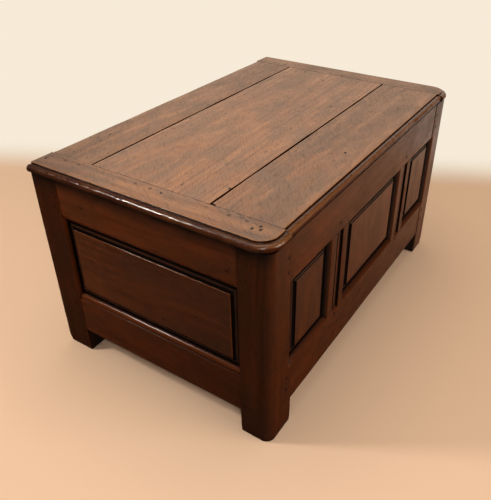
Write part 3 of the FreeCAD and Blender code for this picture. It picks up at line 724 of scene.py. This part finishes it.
@dataclass
class Board(Piece):
    """One oak board, cut as the frame gives it and then worn."""

    grain: Grain = Grain.UPRIGHT
    tone: float = 0.0
    tone_spread: float = 0.06
    dry_sides: tuple[Vector, ...] = ()
    dry: float = 0.0
    edge: float = 0.9 * MM
    edge_room: float = 2.4
    steps: Sizes = (16 * MM, 16 * MM, 16 * MM)
    hollow: float = 0.35 * MM
    wave: float = 90 * MM
    grime_and_shade_drift: Sizes = (36 * MM, 0.75, 0.4)

    def make(self) -> None:
        """Builds the board."""
        self.rub(self.edge, room=self.edge_room)
        self.slice_evenly(self.steps)
        self.cut()
        self.lay_out(self.tone + self.seed.uniform(-self.tone_spread, self.tone_spread))
        self.uneven(self.hollow, self.wave, self.own_shift())
        self.age()
        self.hand_in("oak")

    def cut(self) -> None:
        """Leaves a plain board without cuts of its own."""

    def age(self) -> None:
        """Leaves a plain board without wounds of its own."""

    def lay_out(self, tone: float) -> None:
        """Stores what the finish reads: the board's own grain, its tone, its bare sides, its uneven grime and
        painted shade.

        Args:
            tone: how much lighter or darker the board is, as a share.
        """
        middle = [sum(v.co[i] for v in self.bm.verts) / len(self.bm.verts) for i in range(3)]
        # Where the board lay in its log, in millimetres along it, aside from its heart and out from that
        log_place = [self.seed.uniform(*limits) for limits in ((0, 4000), (-55, 55), (45, 120))]
        place = self.bm.verts.layers.float_vector.new("grain")
        for vert in self.bm.verts:
            vert[place] = [(vert.co[i] - middle[i]) / MM + far for i, far in zip(self.grain.value, log_place)]
        tones, bare, grime_and_shade = self.layers("tone", "dry", "grime_and_shade")
        self.bm.normal_update()
        for face, centre in self.faces():
            face[tones] = tone
            hidden = any(face.normal.dot(side) > 0.9 for side in self.dry_sides)
            face[bare] = 1.0 if hidden else self.dry
            face[grime_and_shade] *= drift(centre, *self.grime_and_shade_drift)


@dataclass
class Pegs(Board):
    """A wall's or the lid's pegs, each cut by hand and so a little different."""

    filth: float = FILTH
    edge: float = 0.5 * MM
    hollow: float = 0.3 * MM
    wave: float = 6 * MM

    def make(self) -> None:
        """Builds the pegs, with a dirty ring about each of them."""
        self.rub(self.edge, self.filth)
        self.lay_out(self.tone)
        self.uneven(self.hollow, self.wave, self.own_shift())
        self.hand_in("oak")


# Case


@dataclass
class CaseBoard(Board):
    """A board of the case, with the directions of its bare inner sides, the long wall's last."""

    inner: tuple[Vector, ...] = ()
    edge: float = 0.7 * MM
    recess: float = 17 * MM
    recess_steps: Sizes = (2.5 * MM, 4.5 * MM, 7 * MM)
    recess_shade: float = 0.25
    recess_shade_per_mm: float = 0.1
    upright_side: float = 20 * MM
    case_end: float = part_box("front_post_right")[1].x
    lid_low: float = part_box("lid_plank_middle")[0].z
    under_lid_front_shade: float = 0.2
    under_lid_shade_reach: float = 36 * MM
    under_lid_shade_steps: int = 12
    under_lid_shade_drift: Sizes = (40 * MM, 0.85, 0.5)
    wall_back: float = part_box("left_top_rail")[1].y
    end_shade_fade: float = 0.3

    def __post_init__(self) -> None:
        """Finds the side that faces outwards."""
        super().__post_init__()
        self.outwards = -self.inner[-1]
        self.dry_sides = (*self.inner, DOWN)

    def age(self) -> None:
        """Paints shade on the boards of an end wall, darker from the back to the front."""
        (tone,) = self.layers("tone")
        for face, centre in self.faces():
            face[tone] += self.end_shade_fade * abs(self.outwards.x) * centre.y / self.wall_back

    def soil_top(self) -> None:
        """Paints shade on the waxed sides just under the lid's nose, most on the end sides and less on the
        front.
        """
        grime_and_shade, bare = self.layers("grime_and_shade", "dry")
        step = self.under_lid_shade_reach / self.under_lid_shade_steps
        self.slice_up(DOWN, [step * i - self.lid_low for i in range(1, self.under_lid_shade_steps)])
        self.bm.normal_update()
        for face, centre in self.faces():
            below = (self.lid_low - centre.z) / self.under_lid_shade_reach
            if below < 1 and face[bare] < HALF_DRY:
                facing = max(self.under_lid_front_shade, abs(face.normal.x))
                shade = facing * (1 - below) * drift(centre, *self.under_lid_shade_drift)
                face[grime_and_shade] = max(face[grime_and_shade], shade)

    def shade_recess(self) -> None:
        """Paints shade on the sides and chamfers of a long wall's uprights, darker and darker towards the
        panels.
        """
        (grime_and_shade,) = self.layers("grime_and_shade")
        _, proud = self.span(self.outwards)
        self.slice_up(self.outwards, [proud - depth for depth in self.recess_steps])
        low, high = self.span(RIGHT)
        self.bm.normal_update()
        for face, centre in self.faces():
            depth = proud - centre.dot(self.outwards)
            beside = abs(face.normal.x) > FACING and depth < self.recess
            outer = abs(centre.x) > self.case_end - self.upright_side
            if beside and not outer and min(centre.x - low, high - centre.x) < self.upright_side:
                depth_shade = self.recess_shade + self.recess_shade_per_mm * depth / MM
                face[grime_and_shade] = max(face[grime_and_shade], min(FILTH, depth_shade))


@dataclass
class Post(CaseBoard):
    """A post, which runs down as a foot. Its end side faces away from the first of its inner ones."""

    edge: float = 1.3 * MM
    foot_height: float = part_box("front_bottom_rail")[0].z
    foot_shade: float = 0.7
    foot_facing: float = 0.7
    corner_shade: float = 0.42
    back_dryness: float = 0.6
    scuff_height: float = 24 * MM
    scuff_bend: float = 1.5
    scuffs: dict[str, float] = field(
        default_factory=lambda: {
            "front_post_left": 2.4 * MM,
            "front_post_right": 2.0 * MM,
            "back_post_left": 2.6 * MM,
            "back_post_right": 3.0 * MM,
        }
    )

    def age(self) -> None:
        """Wears the post and paints shade on it, from its foot to its top."""
        self.wax_recess()
        self.shade_recess()
        self.scuff_foot()
        self.shade_sides()
        self.soil_top()

    def wax_recess(self) -> None:
        """Waxes the strips of the inner sides that show beside the panels, and paints shade on the foot's."""
        bare, grime_and_shade = self.layers("dry", "grime_and_shade")
        for side in self.inner:
            outer, _ = self.span(side)
            for face, centre in self.faces():
                if centre.dot(side) - outer < self.recess:
                    face[bare] = 0.0
                if centre.z < self.foot_height and face.normal.dot(side) > self.foot_facing:
                    face[grime_and_shade] = self.foot_shade

    def scuff_foot(self) -> None:
        """Wears the outer sides of the foot inwards towards the floor."""
        for side in self.inner:
            outer, inner = self.span(side)
            for vert in self.bm.verts:
                low = max(0.0, 1 - vert.co.z / self.scuff_height)
                out = (inner - vert.co.dot(side)) / (inner - outer)
                vert.co += side * self.scuffs[self.node] * out * low**self.scuff_bend

    def shade_sides(self) -> None:
        """Paints shade on the end side and its round corner, darker as they face further out, and leaves the
        back bare.
        """
        tone, bare = self.layers("tone", "dry")
        self.bm.normal_update()
        for face, centre in self.faces():
            face[tone] -= self.corner_shade * max(0.0, -face.normal.dot(self.inner[0]))
            if face.normal.y > 0.5 and centre.y > 0:
                face[bare] = max(face[bare], self.back_dryness)


@dataclass
class TopRail(CaseBoard):
    """A rail under the lid."""

    def age(self) -> None:
        """Paints shade on the rail under the lid's nose."""
        self.soil_top()
        super().age()


@dataclass
class BottomRail(CaseBoard):
    """A rail with a moulded or chamfered upper edge."""

    mould_wear: float = 1.0
    mould_slope: Sizes = (0.25, 0.97)
    mould_facing: float = 0.2
    chamfer_steps: Sizes = (2 * MM, 4 * MM, 6 * MM)
    chamfer_fade: float = 13 * MM
    chamfer_shade: float = 0.85

    def age(self) -> None:
        """Rubs the upper edge."""
        self.rub_mould()
        if self.node.startswith("front"):
            self.shade_chamfer()
        super().age()

    def rub_mould(self) -> None:
        """Rubs the upper edge bright."""
        wear, bare = self.layers("wear", "dry")
        self.bm.normal_update()
        steep, flat = self.mould_slope
        for face, _ in self.faces():
            slanted = steep < face.normal.z < flat and face.normal.dot(self.outwards) > self.mould_facing
            if slanted and face[bare] < HALF_DRY:
                face[wear] = self.mould_wear

    def shade_chamfer(self) -> None:
        """Takes the shine off the rubbed edge, and paints shade on it, darker towards the panels."""
        grime_and_shade, wear, finish = self.layers("grime_and_shade", "wear", "finish")
        _, top = self.span(UP)
        self.slice_up(DOWN, [drop - top for drop in self.chamfer_steps])
        for face, centre in self.faces():
            if face[wear] == self.mould_wear:
                drop = (top - centre.z) / self.chamfer_fade
                face[grime_and_shade] = max(face[grime_and_shade], self.chamfer_shade * (1 - drop))
                face[finish] = Finish.DULL


@dataclass
class Muntin(CaseBoard):
    """An upright between two panels; a front one has a channel down its middle."""

    channel_depth: Sizes = (0.4 * MM, 2.6 * MM)
    channel_unblackened: Sizes = (12 * MM, 9 * MM)
    channel_wall: float = 2 * MM

    def cut(self) -> None:
        """Paints the walls of the channel and the corners beside them black, as shade and old wax."""
        if not self.node.startswith("front"):
            return
        finish, wear = self.layers("finish", "wear")
        wall_depth, floor_depth = self.channel_depth
        _, proud = self.span(FRONT)
        middle = sum(v.co.x for v in self.bm.verts) / len(self.bm.verts)
        sunk = [v.co for v in self.bm.verts if floor_depth < proud - v.co.dot(FRONT) < 2 * floor_depth]
        half = max(abs(co.x - middle) for co in sunk if abs(co.x - middle) < self.upright_side)
        left, right = self.channel_unblackened
        unblackened = (left - half, half - right)
        self.slice_up(RIGHT, [middle + edge for edge in unblackened])
        for face, centre in self.faces():
            aside = centre.x - middle
            blackened = abs(aside) < half + self.channel_wall and not unblackened[0] < aside < unblackened[1]
            if blackened and wall_depth < proud - centre.dot(FRONT) < 2 * floor_depth:
                face[finish] = Finish.SHADE_AND_WAX
                face[wear] = 0.0

    def age(self) -> None:
        """Paints shade on the sides."""
        self.shade_recess()
        super().age()


@dataclass
class Panel(CaseBoard):
    """A raised panel; the edge of its field is rubbed bright on an end wall, and elsewhere painted black or
    dark as shade.
    """

    edge: float = 1.6 * MM
    edge_room: float = 1.4
    margin_depth: float = 1.2 * MM
    margin_unblackened: Sizes = (6 * MM, 10.5 * MM)
    top_margin_unblackened: Sizes = (0.5 * MM, 3.5 * MM)
    margin_shade: float = 0.72
    lit_arris: float = 0.2
    lit_bevel: float = 0.6

    def cut(self) -> None:
        """Paints the step of the field and the bevel about it black as shade and old wax, but for a band that
        keeps the wood's colour under a lighter painted shade.
        """
        rubbed_field = self.outwards.x != 0
        grime_and_shade, wear, finish = self.layers("grime_and_shade", "wear", "finish")
        _, proud = self.span(self.outwards)
        top = [v.co for v in self.bm.verts if proud - v.co.dot(self.outwards) < self.margin_depth]
        aside = Vector((self.outwards.y, self.outwards.x, 0))
        edges = []
        for side in (aside, -aside, DOWN, UP):
            unblackened = self.top_margin_unblackened if side is UP and not rubbed_field else self.margin_unblackened
            edges.append((side, max(corner.dot(side) for corner in top), unblackened))
        for side, edge, unblackened in edges:
            self.slice_up(side, [edge + out for out in unblackened])
        self.bm.normal_update()
        for face, centre in self.faces():
            ahead = face.normal.dot(self.outwards)
            arris = face[wear] > 0
            # Painted shade: faces that turn up to the light keep the wood's colour under a lighter shade, the
            # rest turn black.
            lit = not rubbed_field and face.normal.z > (self.lit_arris if arris else self.lit_bevel)
            if arris and not rubbed_field:
                face[wear] = 0.0
                face[grime_and_shade] = self.margin_shade
                face[finish] = Finish.OWN if lit else Finish.SHADE_AND_WAX
            if proud - centre.dot(self.outwards) < self.margin_depth or ahead < -0.1 or arris:
                continue
            outside, (inner, outer) = max((centre.dot(side) - edge, unblackened) for side, edge, unblackened in edges)
            # A band of the bevel that faces out keeps the wood's colour under painted shade; the rest turns
            # black as shade and old wax.
            rubbed = lit or inner < outside < outer and ahead > 0.5
            face[grime_and_shade] = self.margin_shade
            face[finish] = Finish.OWN if rubbed else Finish.SHADE_AND_WAX


@dataclass
class Case:
    """The panelled case: posts, rails, muntins, panels, floor and pegs."""

    body: str = "case"
    back_dryness: float = 0.6
    floor_boards: int = 5
    peg_filth: float = 0.25
    tones: dict[str, float] = field(
        default_factory=lambda: {
            "front_post_left": -0.14,
            "left_bottom_rail": -0.26,
            "left_end_panel": -0.12,
            "front_panel_centre": 0.38,
            "front_panel_right": 0.18,
        }
    )

    def make(self) -> None:
        """Builds every piece of the case."""
        for row, inner in (("front", BACK), ("back", FRONT)):
            for end, inwards in (("left", RIGHT), ("right", LEFT)):
                self.board(Post, f"{row}_post_{end}", Grain.UPRIGHT, inwards, inner)
        for wall, inwards in (("front", BACK), ("back", FRONT), ("left", RIGHT), ("right", LEFT)):
            self.wall(wall, inwards)
        for number in range(1, self.floor_boards + 1):
            Board(f"floor_board_{number}", self.body, Stock.FLOOR, Grain.CROSS_PLANK, dry=1.0).make()

    def wall(self, wall: str, inwards: Vector) -> None:
        """One panelled wall and its pegs.

        Args:
            wall: its name.
            inwards: the direction of its bare inner side.
        """
        rail = Grain.END_RAIL if inwards.x else Grain.LONG_RAIL
        self.board(BottomRail, f"{wall}_bottom_rail", rail, inwards)
        self.board(TopRail, f"{wall}_top_rail", rail, inwards)
        if inwards.x:
            self.board(Panel, f"{wall}_end_panel", rail, inwards)
        else:
            for end in ("left", "right"):
                self.board(Muntin, f"{wall}_muntin_{end}", Grain.UPRIGHT, inwards)
            for place in ("left", "centre", "right"):
                self.board(Panel, f"{wall}_panel_{place}", Grain.UPRIGHT, inwards)
        Pegs(f"{wall}_pegs", self.body, Stock.CASE_PEG, filth=self.peg_filth).make()

    def board(self, kind: type[CaseBoard], name: str, grain: Grain, *inner: Vector) -> None:
        """One board of the frame or one panel.

        Args:
            kind: what it is.
            name: the solid that it stands for.
            grain: how it lies.
            inner: the directions of its inner sides.
        """
        stock = Stock.PANEL if kind is Panel else Stock.FRAME
        dry = self.back_dryness if name.startswith("back") and kind is not Post else 0.0
        kind(name, self.body, stock, grain, self.tones.get(name, 0.0), dry=dry, inner=inner).make()


# Lid


@dataclass
class LidBoard(Board):
    """A plank or a cleat of the lid, with the directions of the edges that hands rub."""

    outer: tuple[Vector, ...] = ()
    dry_sides: tuple[Vector, ...] = (DOWN,)
    edge: float = 1.2 * MM
    top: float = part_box("lid_plank_middle")[1].z
    left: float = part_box("lid_cleat_left")[0].x
    rim_drop: float = 1.2 * MM
    step_drop: float = 3.4 * MM
    nose_rub: float = 0.8
    nose_dull: float = 0.3
    nose_shade_share: float = 0.4
    joint_x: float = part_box("lid_cleat_right")[0].x
    line_half: float = 4 * MM
    line_dirt: Sizes = (0.12, 0.35, 0.6)
    closed_from: float = 0.165
    warm_reach: float = 9 * MM
    warm_drift: Sizes = (30 * MM, 0.5, 0.8)
    top_corner: float = 32.5 * MM
    corner_shades: tuple[Sizes, ...] = (
        (0.286, 0.3, 0.18, 0.5),
        (-0.286, 0.16, 0.2, 0.3),
    )
    joint_side: float = 1.5 * MM
    joint_opening: float = 1.3 * MM
    joint_wave: float = 75 * MM
    joint_apart: float = 40.0
    knock_depth: float = 0.9 * MM
    knock_wave: float = 9 * MM
    knock_shift: Sizes = (7.0, 3.0, 5.0)
    pits: tuple[tuple[float, float], ...] = (
        (0.316, 0.023),
        (0.36, 0.102),
        (0.152, -0.084),
        (-0.404, 0.263),
        (-0.391, -0.235),
        (-0.392, -0.025),
        (-0.314, -0.118),
        (-0.066, -0.227),
        (-0.404, -0.226),
        (-0.4, -0.24),
    )
    pit_size: Sizes = (3.8 * MM, 2.4 * MM, 1.4 * MM)
    pit_middle: float = 0.45
    pit_dirt: float = 0.9

    def cut(self) -> None:
        """Cuts the lines of the pits, and marks what hands and wax have done to the edges."""
        wide, deep, _ = self.pit_size
        for pit in self.own_pits():
            self.slice_up(RIGHT, [pit.x - wide, pit.x, pit.x + wide])
            self.slice_up(BACK, [pit.y - deep, pit.y, pit.y + deep])
        self.mark_rim()
        self.fade_lines()
        if self.outer:
            self.warm_edge()

    def age(self) -> None:
        """Opens the joints of a plank, dents the nose, sinks the pits and paints shade on the left corners.
        """
        if self.grain is Grain.PLANK:
            self.open_joints()
        low = self.top - self.rim_drop
        shift = Vector(self.knock_shift)
        self.uneven(self.knock_depth, self.knock_wave, shift, lambda vert: vert.co.z < low)
        self.sink_pits()
        self.shade_corners()

    def own_pits(self) -> list[Vector]:
        """The nail holes and small knots that lie on this board.

        Returns:
            Their middles.
        """
        (left, right), (front, back) = self.span(RIGHT), self.span(BACK)
        on_board = [(x, y) for x, y in self.pits if left < x < right and front < y < back]
        return [Vector((x, y, self.top)) for x, y in on_board]

    def mark_rim(self) -> None:
        """Marks the moulded nose: glossy from hands, black in its step with dirt and painted shade, black
        dirt in the joint lines at its ends, and painted shade below.
        """
        rim, grime_and_shade, wear, finish = self.layers("rim", "grime_and_shade", "wear", "finish")
        self.bm.normal_update()
        for face, centre in self.faces():
            drop = self.top - centre.z
            x, y, z = face.normal
            if drop < self.rim_drop or z < -0.95:
                continue
            face[rim] = 1.0
            # Painted shade, darker as the nose turns down.
            face[grime_and_shade] = max(face[grime_and_shade], min(1.0, 0.5 - z))
            face[wear] = max(face[wear], max(0.0, 1 - 2 * abs(z - self.nose_rub)) * abs(y))
            # The lower front of the nose loses its shine and keeps less of the painted shade.
            if z < self.nose_dull and abs(y) > FACING:
                face[finish] = Finish.DULL
                face[grime_and_shade] *= self.nose_shade_share
            # Black in the step is painted shade and dirt; at the ends it is dirt in the joint.
            in_step = drop < self.step_drop and abs(z) < 0.5
            at_end = abs(x) > FACING and abs(abs(centre.x) - self.joint_x) < self.line_half
            if in_step or at_end:
                face[grime_and_shade] = FILTH
                face[wear] = 0.0

    def fade_lines(self) -> None:
        """Fills the joint lines of the cleats with hard wax, so that they show less than the open joints."""
        (grime_and_shade,) = self.layers("grime_and_shade")
        closed_dirt, far_dirt, near_dirt = self.line_dirt
        for face, centre in self.faces():
            if abs(abs(centre.x) - self.joint_x) > self.line_half or self.top - centre.z > self.rim_drop:
                continue
            closed = centre.x < 0 and centre.y > self.closed_from
            face[grime_and_shade] *= closed_dirt if closed else far_dirt if centre.x > 0 else near_dirt
            if closed and face.normal.z > 0.1:
                for vert in face.verts:
                    vert.co.z = self.top
                    if 0 < vert.co.x + self.joint_x < 0.6 * self.edge:
                        vert.co.x = -self.joint_x

    def warm_edge(self) -> None:
        """Wears the polish back to warmer wood, in patches, along the outer edges and their round corner."""
        (wear,) = self.layers("wear")
        tops = [v.co for v in self.bm.verts if self.top - v.co.z < 0.1 * MM]
        edges = [(side, max(place.dot(side) for place in tops)) for side in self.outer]
        for side, edge in edges:
            self.slice_up(side, [edge - self.warm_reach * share for share in (0.25, 0.5, 0.75, 1.0)])
        self.bm.normal_update()
        for face, centre in self.faces():
            if face.normal.z < 0.9 or self.top - centre.z > 0.3 * MM:
                continue
            depths = [edge - centre.dot(side) for side, edge in edges]
            inside = min(depths)
            if len(depths) == 2 and max(depths) < self.top_corner:
                inside = self.top_corner - math.hypot(*(self.top_corner - depth for depth in depths))
            bared = (1 - inside / self.warm_reach) * drift(centre, *self.warm_drift)
            face[wear] = max(face[wear], min(1.0, bared))

    def open_joints(self) -> None:
        """Draws the upper long edges back by an uneven amount, so that the joints gape in places."""
        edges = self.span(BACK)
        low, _ = self.span(UP)
        for vert in self.bm.verts:
            height = (vert.co.z - low) / (self.top - low)
            for edge, inwards in zip(edges, (1, -1)):
                if abs(vert.co.y - edge) < self.joint_side:
                    line = Vector((vert.co.x / self.joint_wave, edge * self.joint_apart, 3.0))
                    gape = 0.5 + noise.noise(line)
                    vert.co.y += inwards * self.joint_opening * height * max(0.0, min(1.0, gape))

    def sink_pits(self) -> None:
        """Sinks the middle of each pit."""
        wide, _, sunk = self.pit_size
        (grime_and_shade,) = self.layers("grime_and_shade")
        for pit in self.own_pits():
            for vert in [v for v in self.bm.verts if (v.co - pit).length < self.pit_middle * wide]:
                vert.co.z -= sunk
                for face in vert.link_faces:
                    face[grime_and_shade] = self.pit_dirt

    def shade_corners(self) -> None:
        """Paints shade on the left corners of the top."""
        (tone,) = self.layers("tone")
        for face, centre in self.faces():
            for y, along, across, dull in self.corner_shades:
                near = 1 - math.hypot((centre.x - self.left) / along, (centre.y - y) / across)
                face[tone] -= dull * max(0.0, near)


@dataclass
class FrontPlank(LidBoard):
    """The front plank, with a chip at its near inner corner."""

    chip: Sizes = (3.4 * MM, 9 * MM, 9 * MM)
    chip_floor: Sizes = (0.7, 0.8)
    chip_sunk: Sizes = (0.85, 0.9)
    chip_below: float = 2 * MM

    def chip_corner(self) -> tuple[float, float]:
        """The near inner corner of the top face."""
        tops = [v.co for v in self.bm.verts if v.co.z > self.top - 0.6 * MM]
        return min(co.x for co in tops), max(co.y for co in tops)

    def cut(self) -> None:
        """Cuts the lines of the chip, too."""
        across, along, _ = self.chip
        x, y = self.chip_corner()
        floor_x, floor_y = self.chip_floor
        self.slice_up(RIGHT, [x + across, x + across * floor_x])
        self.slice_up(BACK, [y - along, y - along * floor_y])
        super().cut()

    def age(self) -> None:
        """Sinks the chip, too."""
        super().age()
        across, along, deep = self.chip
        x, y = self.chip_corner()
        (grime_and_shade,) = self.layers("grime_and_shade")
        sunk_x, sunk_y = self.chip_sunk
        for vert in self.bm.verts:
            inside = vert.co.x < x + across * sunk_x and vert.co.y > y - along * sunk_y
            if inside and vert.co.z > self.top - self.chip_below:
                vert.co.z -= deep
                for face in vert.link_faces:
                    face[grime_and_shade] = FILTH


@dataclass
class NearCleat(LidBoard):
    """The near cleat, with a split along its grain."""

    split_start: Sizes = (-0.3795, -0.133)
    split_end: Sizes = (-0.391, -0.238)
    split_half: float = 0.9 * MM
    split_depth: float = 2.4 * MM
    split_drift: Sizes = (9 * MM, 0.6, 0.4)

    def split_line(self) -> tuple[Vector, Vector, Vector]:
        """The start of the split, its run, and the way across it.

        Returns:
            The place and the two directions.
        """
        start = Vector((*self.split_start, 0))
        run = Vector((*self.split_end, 0)) - start
        return start, run, Vector((-run.y, run.x, 0)).normalized()

    def cut(self) -> None:
        """Cuts the lines of the split, too."""
        start, _, across = self.split_line()
        place = start.dot(across)
        self.slice_up(across, [place - self.split_half, place, place + self.split_half])
        super().cut()

    def age(self) -> None:
        """Opens the split, too, into a groove that fades at its far end."""
        super().age()
        start, run, across = self.split_line()
        (grime_and_shade,) = self.layers("grime_and_shade")
        for vert in self.bm.verts:
            away = vert.co - start
            share = away.dot(run) / run.length_squared
            if abs(away.dot(across)) < 0.3 * MM and 0 <= share <= 1 and vert.co.z > self.top - 1 * MM:
                fade = math.sqrt(1 - share) * drift(vert.co, *self.split_drift)
                vert.co.z -= self.split_depth * fade
                for face in vert.link_faces:
                    face[grime_and_shade] = max(face[grime_and_shade], self.pit_dirt * fade)


@dataclass
class Lid:
    """The planked lid: three planks with open joints, two cleats across their ends, and the pegs."""

    body: str = "lid"
    peg_filth: float = 0.6
    plank_steps: Sizes = (4 * MM, 16 * MM, 30 * MM)
    cleat_steps: Sizes = (14 * MM, 4 * MM, 30 * MM)

    def make(self) -> None:
        """Builds every piece of the lid."""
        look = {"grain": Grain.PLANK, "steps": self.plank_steps}
        LidBoard("lid_plank_back", self.body, Stock.LID, tone=0.06, **look).make()
        LidBoard("lid_plank_middle", self.body, Stock.LID, tone=0.28, **look).make()
        FrontPlank("lid_plank_front", self.body, Stock.LID, tone=0.02, outer=(FRONT,), **look).make()
        look = {"grain": Grain.CROSS_PLANK, "steps": self.cleat_steps}
        NearCleat("lid_cleat_left", self.body, Stock.LID, tone=0.1, outer=(LEFT, FRONT), **look).make()
        LidBoard("lid_cleat_right", self.body, Stock.LID, tone=0.0, outer=(RIGHT, FRONT), **look).make()
        Pegs("lid_pegs", self.body, Stock.LID_PEG, Grain.PLANK, filth=self.peg_filth).make()


# Hinges


@dataclass
class Forged(Piece):
    """One forged piece, with hammered edges."""

    stock: Stock = Stock.IRON
    edge: float = 0.5 * MM
    step: float = 8 * MM
    dent: float = 0.25 * MM
    dent_wave: float = 9 * MM

    def make(self) -> None:
        """Builds the piece."""
        self.rub(self.edge)
        self.slice_evenly((self.step, self.step, self.step))
        self.uneven(self.dent, self.dent_wave, self.own_shift())
        self.hand_in("iron")


@dataclass
class Hinges:
    """Two strap hinges with their pins and nails."""

    ends: tuple[str, ...] = ("left", "right")

    def make(self) -> None:
        """Builds every piece of the hinges."""
        for end in self.ends:
            Forged(f"hinge_plate_{end}", "case").make()
            Forged(f"hinge_pin_{end}", "case").make()
            Forged(f"hinge_strap_{end}", "lid").make()
        Forged("hinge_plate_nails", "case").make()
        Forged("hinge_strap_nails", "lid").make()


# Studio


@dataclass
class Studio:
    """A pale floor, soft lamps and the camera of the photograph."""

    photo_px: tuple[int, int] = (491, 500)
    focal_px: float = 574.7
    centre_px: Sizes = (266.04, 232.0)
    target: Vector = field(default_factory=lambda: Vector((-0.0054, 0.0, 0.1709)))
    distance: float = 1.4628
    azimuth_deg: float = -57.65
    elevation_deg: float = 32.59
    sensor_mm: float = 36.0
    floor_radius: float = 6.0
    floor_near: str = "#f0ccae"
    sky: str = "#f7ebd8"
    sky_light: float = 0.32
    wall_side: Vector = field(default_factory=lambda: Vector((0.886, 0.465, 0.0)))
    wall_away: Sizes = (0.6, 0.9)
    wall_turn: Sizes = (0.68, 0.86)
    wall_gloss: Sizes = (0.05, 0.95)
    floor_gloss: Sizes = (0.05, 0.9)
    floor_gloss_x: Sizes = (-0.3, 1.0)

    def make(self) -> None:
        """Builds the floor, the light and the camera."""
        bpy.context.scene.view_settings.view_transform = "Standard"
        self.floor()
        self.world()
        self.lamp("top_softbox", (0.2, 0.4, 3.4), 2.6, 32.0, "#fff4e6")
        self.lamp("front_softbox", (0.7, -3.8, 1.7), 2.0, 68.0, "#fff4e6")
        self.lamp("side_lamp", (-1.3, 1.3, 1.92), 0.25, 22.0, "#fff8ee")
        self.lamp("near_lamp", (-1.1, -0.75, 1.1), 0.07, 3.8, "#ffffff")
        self.camera()

    def aim(self, name: str, data: Any, place: Vector) -> Object:
        """Puts a lamp or the camera at a place, turned towards the coffer.

        Args:
            name: its name.
            data: what it is.
            place: where it stands.

        Returns:
            The new object.
        """
        made = bpy.data.objects.new(name, data)
        made.location = place
        made.rotation_euler = (self.target - place).to_track_quat("-Z", "Y").to_euler()
        bpy.context.scene.collection.objects.link(made)
        return made

    def behind(self, put: Put, place: NodeSocket, *limits: float) -> NodeSocket:
        """Fades on the way to the pale wall behind the coffer.

        Args:
            put: adds a node to the tree.
            place: a place or a direction.
            limits: where the fade starts and ends, and the levels before and after it if not 0 and 1.

        Returns:
            A socket with the level.
        """
        away = put("VectorMath", {0: place, 1: self.wall_side}, "Value", operation="DOT_PRODUCT")
        return put("MapRange", dict(enumerate((away, *limits))), **FADE)

    def floor(self) -> None:
        """The floor, which turns into a pale wall behind the coffer and looks dim in its dark end wall."""
        bm = bmesh.new()
        bmesh.ops.create_circle(bm, cap_ends=True, segments=96, radius=self.floor_radius)
        mesh = bpy.data.meshes.new("studio_floor")
        bm.to_mesh(mesh)
        bm.free()
        made = bpy.data.materials.new("floor_matte")
        put = partial(add, blank(made))
        place = put("TexCoord", out="Object")
        far = self.behind(put, place, *self.wall_away)
        colour = {0: far, MIX_A: linear(self.floor_near), MIX_B: linear(self.sky)}
        colour = put("Mix", colour, **BLEND)
        across = put("SeparateXYZ", {0: place})
        limits = (across, *self.floor_gloss_x, *self.floor_gloss)
        gloss = put("MapRange", dict(enumerate(limits)), **FADE)
        path = put("LightPath").node.outputs
        level = put("Mix", {0: path["Is Glossy Ray"], 2: 1.0, 3: gloss})
        colour = put("VectorMath", {0: colour, "Scale": level}, **SCALE)
        matte = put("BsdfDiffuse", {"Color": colour})
        wall = put("Emission", {"Color": linear(self.sky)})
        rays = {0: path["Is Camera Ray"], 1: path["Is Glossy Ray"]}
        seen = put("Math", {0: far, 1: put("Math", rays, operation="ADD")}, **TIMES)
        put("OutputMaterial", {"Surface": put("MixShader", {0: seen, 1: matte, 2: wall})})
        mesh.materials.append(made)
        floor = bpy.data.objects.new("studio_floor", mesh)
        bpy.context.scene.collection.objects.link(floor)

    def world(self) -> None:
        """Soft light from all around, seen in the gloss as a pale wall behind and a dim room in front."""
        world = bpy.data.worlds.new("studio_world")
        bpy.context.scene.world = world
        put = partial(add, blank(world))
        heading = put("TexCoord", out="Generated")
        gloss = self.behind(put, heading, *self.wall_turn, *self.wall_gloss)
        path = put("LightPath").node.outputs
        level = put("Mix", {0: path["Is Glossy Ray"], 2: self.sky_light, 3: gloss})
        level = put("Mix", {0: path["Is Camera Ray"], 2: level, 3: 1.0})
        light = put("Background", {"Color": linear(self.sky), "Strength": level})
        put("OutputWorld", {"Surface": light})

    def lamp(
        self, name: str, place: tuple[float, float, float], size: float, watts: float, colour: str
    ) -> None:
        """A square soft lamp that faces the coffer.

        Args:
            name: the lamp's name.
            place: where it hangs.
            size: its side.
            watts: its power.
            colour: its colour.
        """
        data = bpy.data.lights.new(name, "AREA")
        data.size = size
        data.energy = watts
        data.color = linear(colour)[:3]
        self.aim(name, data, Vector(place))

    def camera(self) -> None:
        """The camera at the photograph's view."""
        wide, high = self.photo_px
        data = bpy.data.cameras.new("photo_camera")
        data.sensor_fit = "VERTICAL"
        data.sensor_height = self.sensor_mm
        data.lens = self.focal_px * self.sensor_mm / high
        data.shift_x = (wide / 2 - self.centre_px[0]) / high
        data.shift_y = (self.centre_px[1] - high / 2) / high
        turn, rise = math.radians(self.azimuth_deg), math.radians(self.elevation_deg)
        away = Vector((math.sin(turn) * math.cos(rise), -math.cos(turn) * math.cos(rise), math.sin(rise)))
        bpy.context.scene.camera = self.aim("photo_camera", data, self.target + away * self.distance)


def main() -> None:
    """Builds the coffer and the studio."""
    logging.basicConfig(level=logging.INFO, format="%(name)s: %(message)s")
    Case().make()
    Lid().make()
    Hinges().make()
    Studio().make()


if __name__ == "__main__":
    main()
